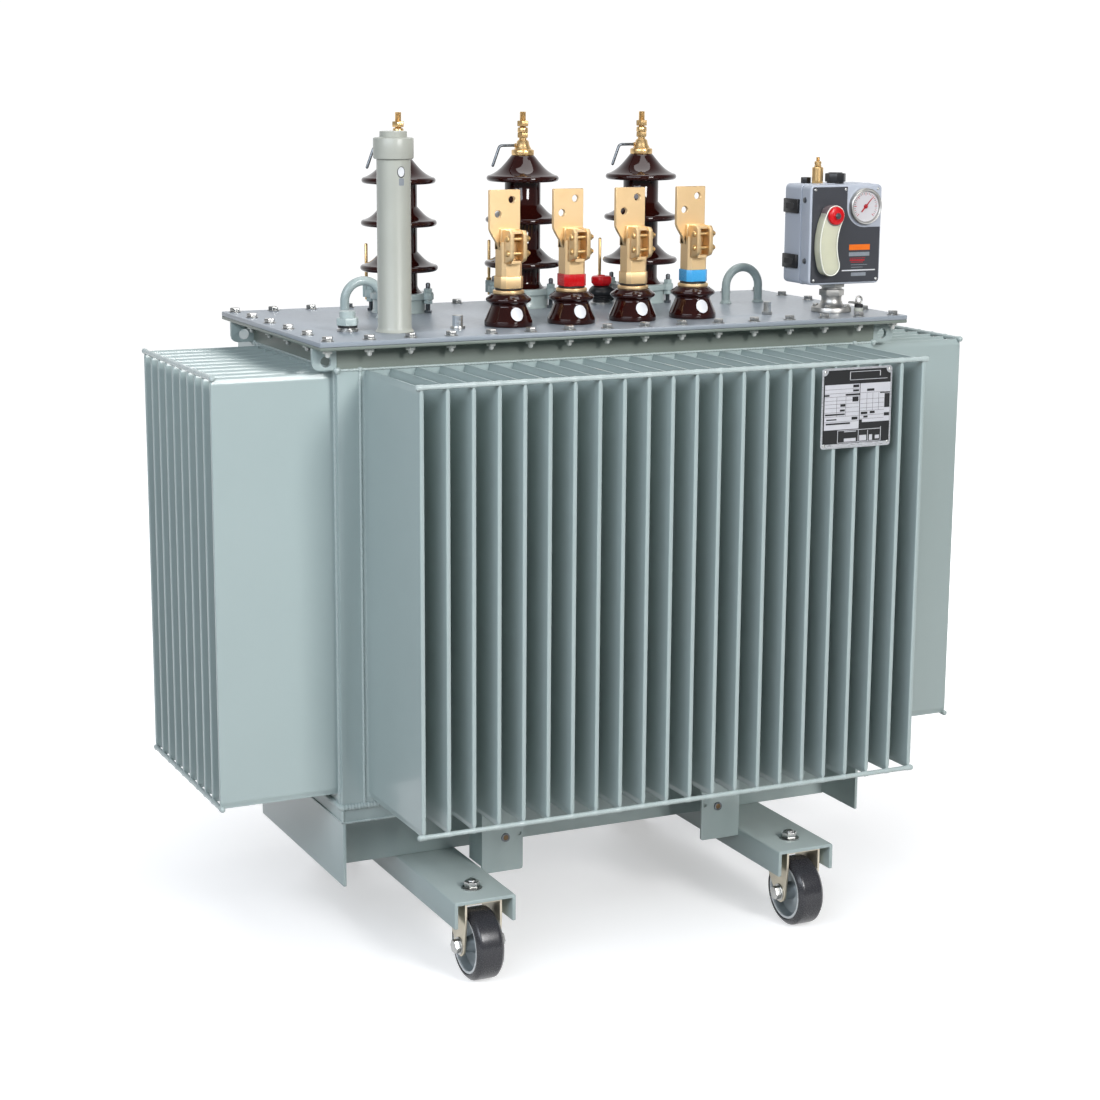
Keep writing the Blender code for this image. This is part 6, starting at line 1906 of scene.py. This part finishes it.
@dataclass
class Studio:
    """Camera at the photo's angle, soft lights, and a white floor that keeps the shadow."""

    place: Point = (-1.9155, -3.9816, 1.6267)
    yaw: float = 0.4426
    pitch: float = -0.2073
    roll: float = 0.0061
    focal_pixels: float = 2310.94
    frame_pixels: float = 1100.0
    dim: float = 0.16

    def build(self) -> None:
        """Set the view transform and build camera, world, lights and floor."""
        bpy.context.scene.view_settings.view_transform = "Standard"
        self.build_camera()
        self.build_world()
        self.build_lights()
        self.build_floor()

    def build_camera(self) -> None:
        """Camera that looks along (sin y cos p, cos y cos p, sin p), rolled by a small angle."""
        forward = Vector((math.sin(self.yaw) * math.cos(self.pitch),
                          math.cos(self.yaw) * math.cos(self.pitch), math.sin(self.pitch)))
        right = Vector((math.cos(self.yaw), -math.sin(self.yaw), 0.0))
        up = right.cross(forward)
        level = right * math.cos(self.roll) + up * math.sin(self.roll)
        above = up * math.cos(self.roll) - right * math.sin(self.roll)
        data = bpy.data.cameras.new("camera")
        data.sensor_width = 36.0
        data.lens = 36.0 * self.focal_pixels / self.frame_pixels
        data.clip_end = 60.0
        camera = bpy.data.objects.new("camera", data)
        matrix = Matrix((level, above, -forward)).transposed().to_4x4()
        matrix.translation = Vector(self.place)
        camera.matrix_world = matrix
        bpy.context.scene.collection.objects.link(camera)
        bpy.context.scene.camera = camera

    def seen(self, tree: NodeTree, mirrored: NodeSocket) -> NodeSocket:
        """One for rays from the camera and through glass, a level for mirrors, else zero.

        Args:
            tree: Node tree that gets the nodes.
            mirrored: Level that mirrors see.

        Returns:
            The value.
        """
        path = add_node(tree, "LightPath")
        direct = add_node(tree, "Math", {0: path.outputs["Is Camera Ray"],
                                         1: path.outputs["Is Transmission Ray"]},
                          operation="MAXIMUM")
        mirror = add_node(tree, "Math", {0: path.outputs["Is Glossy Ray"], 1: mirrored},
                          operation="MULTIPLY")
        both = add_node(tree, "Math", {0: direct, 1: mirror}, operation="MAXIMUM")
        return both.outputs[0]

    def build_world(self) -> None:
        """White room for the camera, dimmer behind it in mirrors, and a low level as light."""
        world = bpy.data.worlds.new("studio")
        world.use_nodes = True
        tree = world.node_tree
        tree.nodes.clear()
        way = add_node(tree, "TexCoord").outputs["Generated"]
        ahead = add_node(tree, "VectorMath", {0: way, 1: (0.36, 0.86, -0.36)},
                         operation="DOT_PRODUCT")
        level = add_node(tree, "MapRange", {"Value": ahead.outputs["Value"], "From Min": -0.25,
                                            "From Max": 0.6, "To Min": self.dim, "To Max": 1.0},
                         interpolation_type="SMOOTHSTEP")
        light = add_node(tree, "Background", {"Color": srgb("#dfe9f5"), "Strength": 0.08})
        seen = self.seen(tree, level.outputs[0])
        white = add_node(tree, "Background", {"Color": (1, 1, 1, 1), "Strength": seen})
        both = add_node(tree, "AddShader", {0: light, 1: white})
        add_node(tree, "OutputWorld", {"Surface": both})
        bpy.context.scene.world = world

    def build_lights(self) -> None:
        """Softboxes: a long bank at the left front, one in front, one overhead, one behind."""
        lamps = (("key", (-3.95, -3.05, 3.4), (4.6, 2.3), 218.0, "#eef5ff"),
                 ("front", (0.9, -5.1, 3.3), (1.3, 1.8), 226.0, "#fdfcfc"),
                 ("top", (0.5, 0.2, 4.6), (2.2, 2.0), 48.0, "#ffffff"),
                 ("rear", (1.8, 4.9, 3.6), (2.6, 1.6), 130.0, "#f6f9ff"))
        for name, place, size, energy, colour in lamps:
            data = bpy.data.lights.new(name, "AREA")
            data.shape = "RECTANGLE"
            data.size, data.size_y = size
            data.energy = energy
            data.color = srgb(colour)[:3]
            lamp = bpy.data.objects.new(name, data)
            lamp.location = place
            lamp.visible_glossy = name != "rear"  # else the lid mirrors it towards the camera
            aim = Vector((0, 0, 0.75)) - Vector(place)
            lamp.rotation_euler = aim.to_track_quat("-Z", "Y").to_euler()
            bpy.context.scene.collection.objects.link(lamp)

    def build_floor(self) -> None:
        """Pale floor with the object's shadow: plain white further off, and clear from below."""
        mesh = bpy.data.meshes.new("studio_floor")
        mesh.from_pydata([(-9, -9, 0), (9, -9, 0), (9, 12, 0), (-9, 12, 0)], [], [(0, 1, 2, 3)])
        floor = bpy.data.objects.new("studio_floor", mesh)
        bpy.context.scene.collection.objects.link(floor)
        made = bpy.data.materials.new("white_studio_floor")
        made.use_nodes = True
        tree = made.node_tree
        tree.nodes.clear()
        place = add_node(tree, "TexCoord").outputs["Object"]
        # The glow is lowest in an ellipse round the object's foot and rises to white further off: a
        # painted shadow pool laid over the real shadow.
        shift = add_node(tree, "VectorMath", {0: place, 1: (-0.15, -0.25, 0)})
        scaled = add_node(tree, "VectorMath", {0: shift, 1: (1.33, 1.82, 1)}, operation="MULTIPLY")
        reach = add_node(tree, "VectorMath", {0: scaled}, operation="LENGTH")
        painted_shadow_pool = add_node(tree, "MapRange", {"Value": reach.outputs["Value"], "From Min": 0.4,
                                           "From Max": 3.0, "To Min": 0.47, "To Max": 1.0},
                        interpolation_type="SMOOTHSTEP")
        depth = add_node(tree, "SeparateXYZ", {0: place}).outputs["Y"]
        front = add_node(tree, "MapRange", {"Value": depth, "From Min": -3.2, "From Max": -1.3,
                                            "To Min": self.dim})
        level = add_node(tree, "Math", {0: painted_shadow_pool, 1: self.seen(tree, front.outputs[0])},
                         operation="MULTIPLY")
        bounce = add_node(tree, "LightPath").outputs["Is Diffuse Ray"]
        tint = add_node(tree, "Mix", {0: bounce, 6: srgb("#cfcfcf"), 7: srgb("#a8a8a8")},
                        data_type="RGBA")
        matt = add_node(tree, "BsdfDiffuse", {"Color": tint.outputs[2]})
        lit = add_node(tree, "Emission", {"Color": (1, 1, 1, 1), "Strength": level})
        both = add_node(tree, "AddShader", {0: matt, 1: lit})
        below = add_node(tree, "NewGeometry").outputs["Backfacing"]
        clear = add_node(tree, "BsdfTransparent")
        sided = add_node(tree, "MixShader", {0: below, 1: both, 2: clear})
        add_node(tree, "OutputMaterial", {"Surface": sided})
        mesh.materials.append(made)


def main() -> None:
    """Build the studio and every sub-assembly in order, and log each piece."""
    logging.basicConfig(level=logging.INFO, format="%(name)s: %(message)s")
    Studio().build()
    assemblies: list[SubAssembly] = [Tank(), Nameplate(), TapChanger(), LidFittings(), Relay(),
                                     Undercarriage()]
    assemblies += [FinWall(place, facing, 22, 0.047)
                   for place, facing in (("front", Facing.FRONT), ("rear", Facing.REAR))]
    assemblies += [FinWall(place, facing, 10, 0.0455)
                   for place, facing in (("left", Facing.LEFT), ("right", Facing.RIGHT))]
    assemblies += [HvBushing(number, angle)
                   for number, angle in ((1, 120.0), (2, 120.0), (3, 146.0))]
    nuts = (CAST_BRASS, RED_ENAMEL, CAST_BRASS, BLUE_ENAMEL)
    assemblies += [LvBushing(number, nut) for number, nut in enumerate(nuts, 1)]
    assemblies += [Castor(place) for place in ("front_left", "front_right", "rear_left",
                                               "rear_right")]
    for assembly in assemblies:
        LOG.info("%s", type(assembly).__name__)
        assembly.build()
        assembly.dress()


if __name__ == "__main__":
    main()
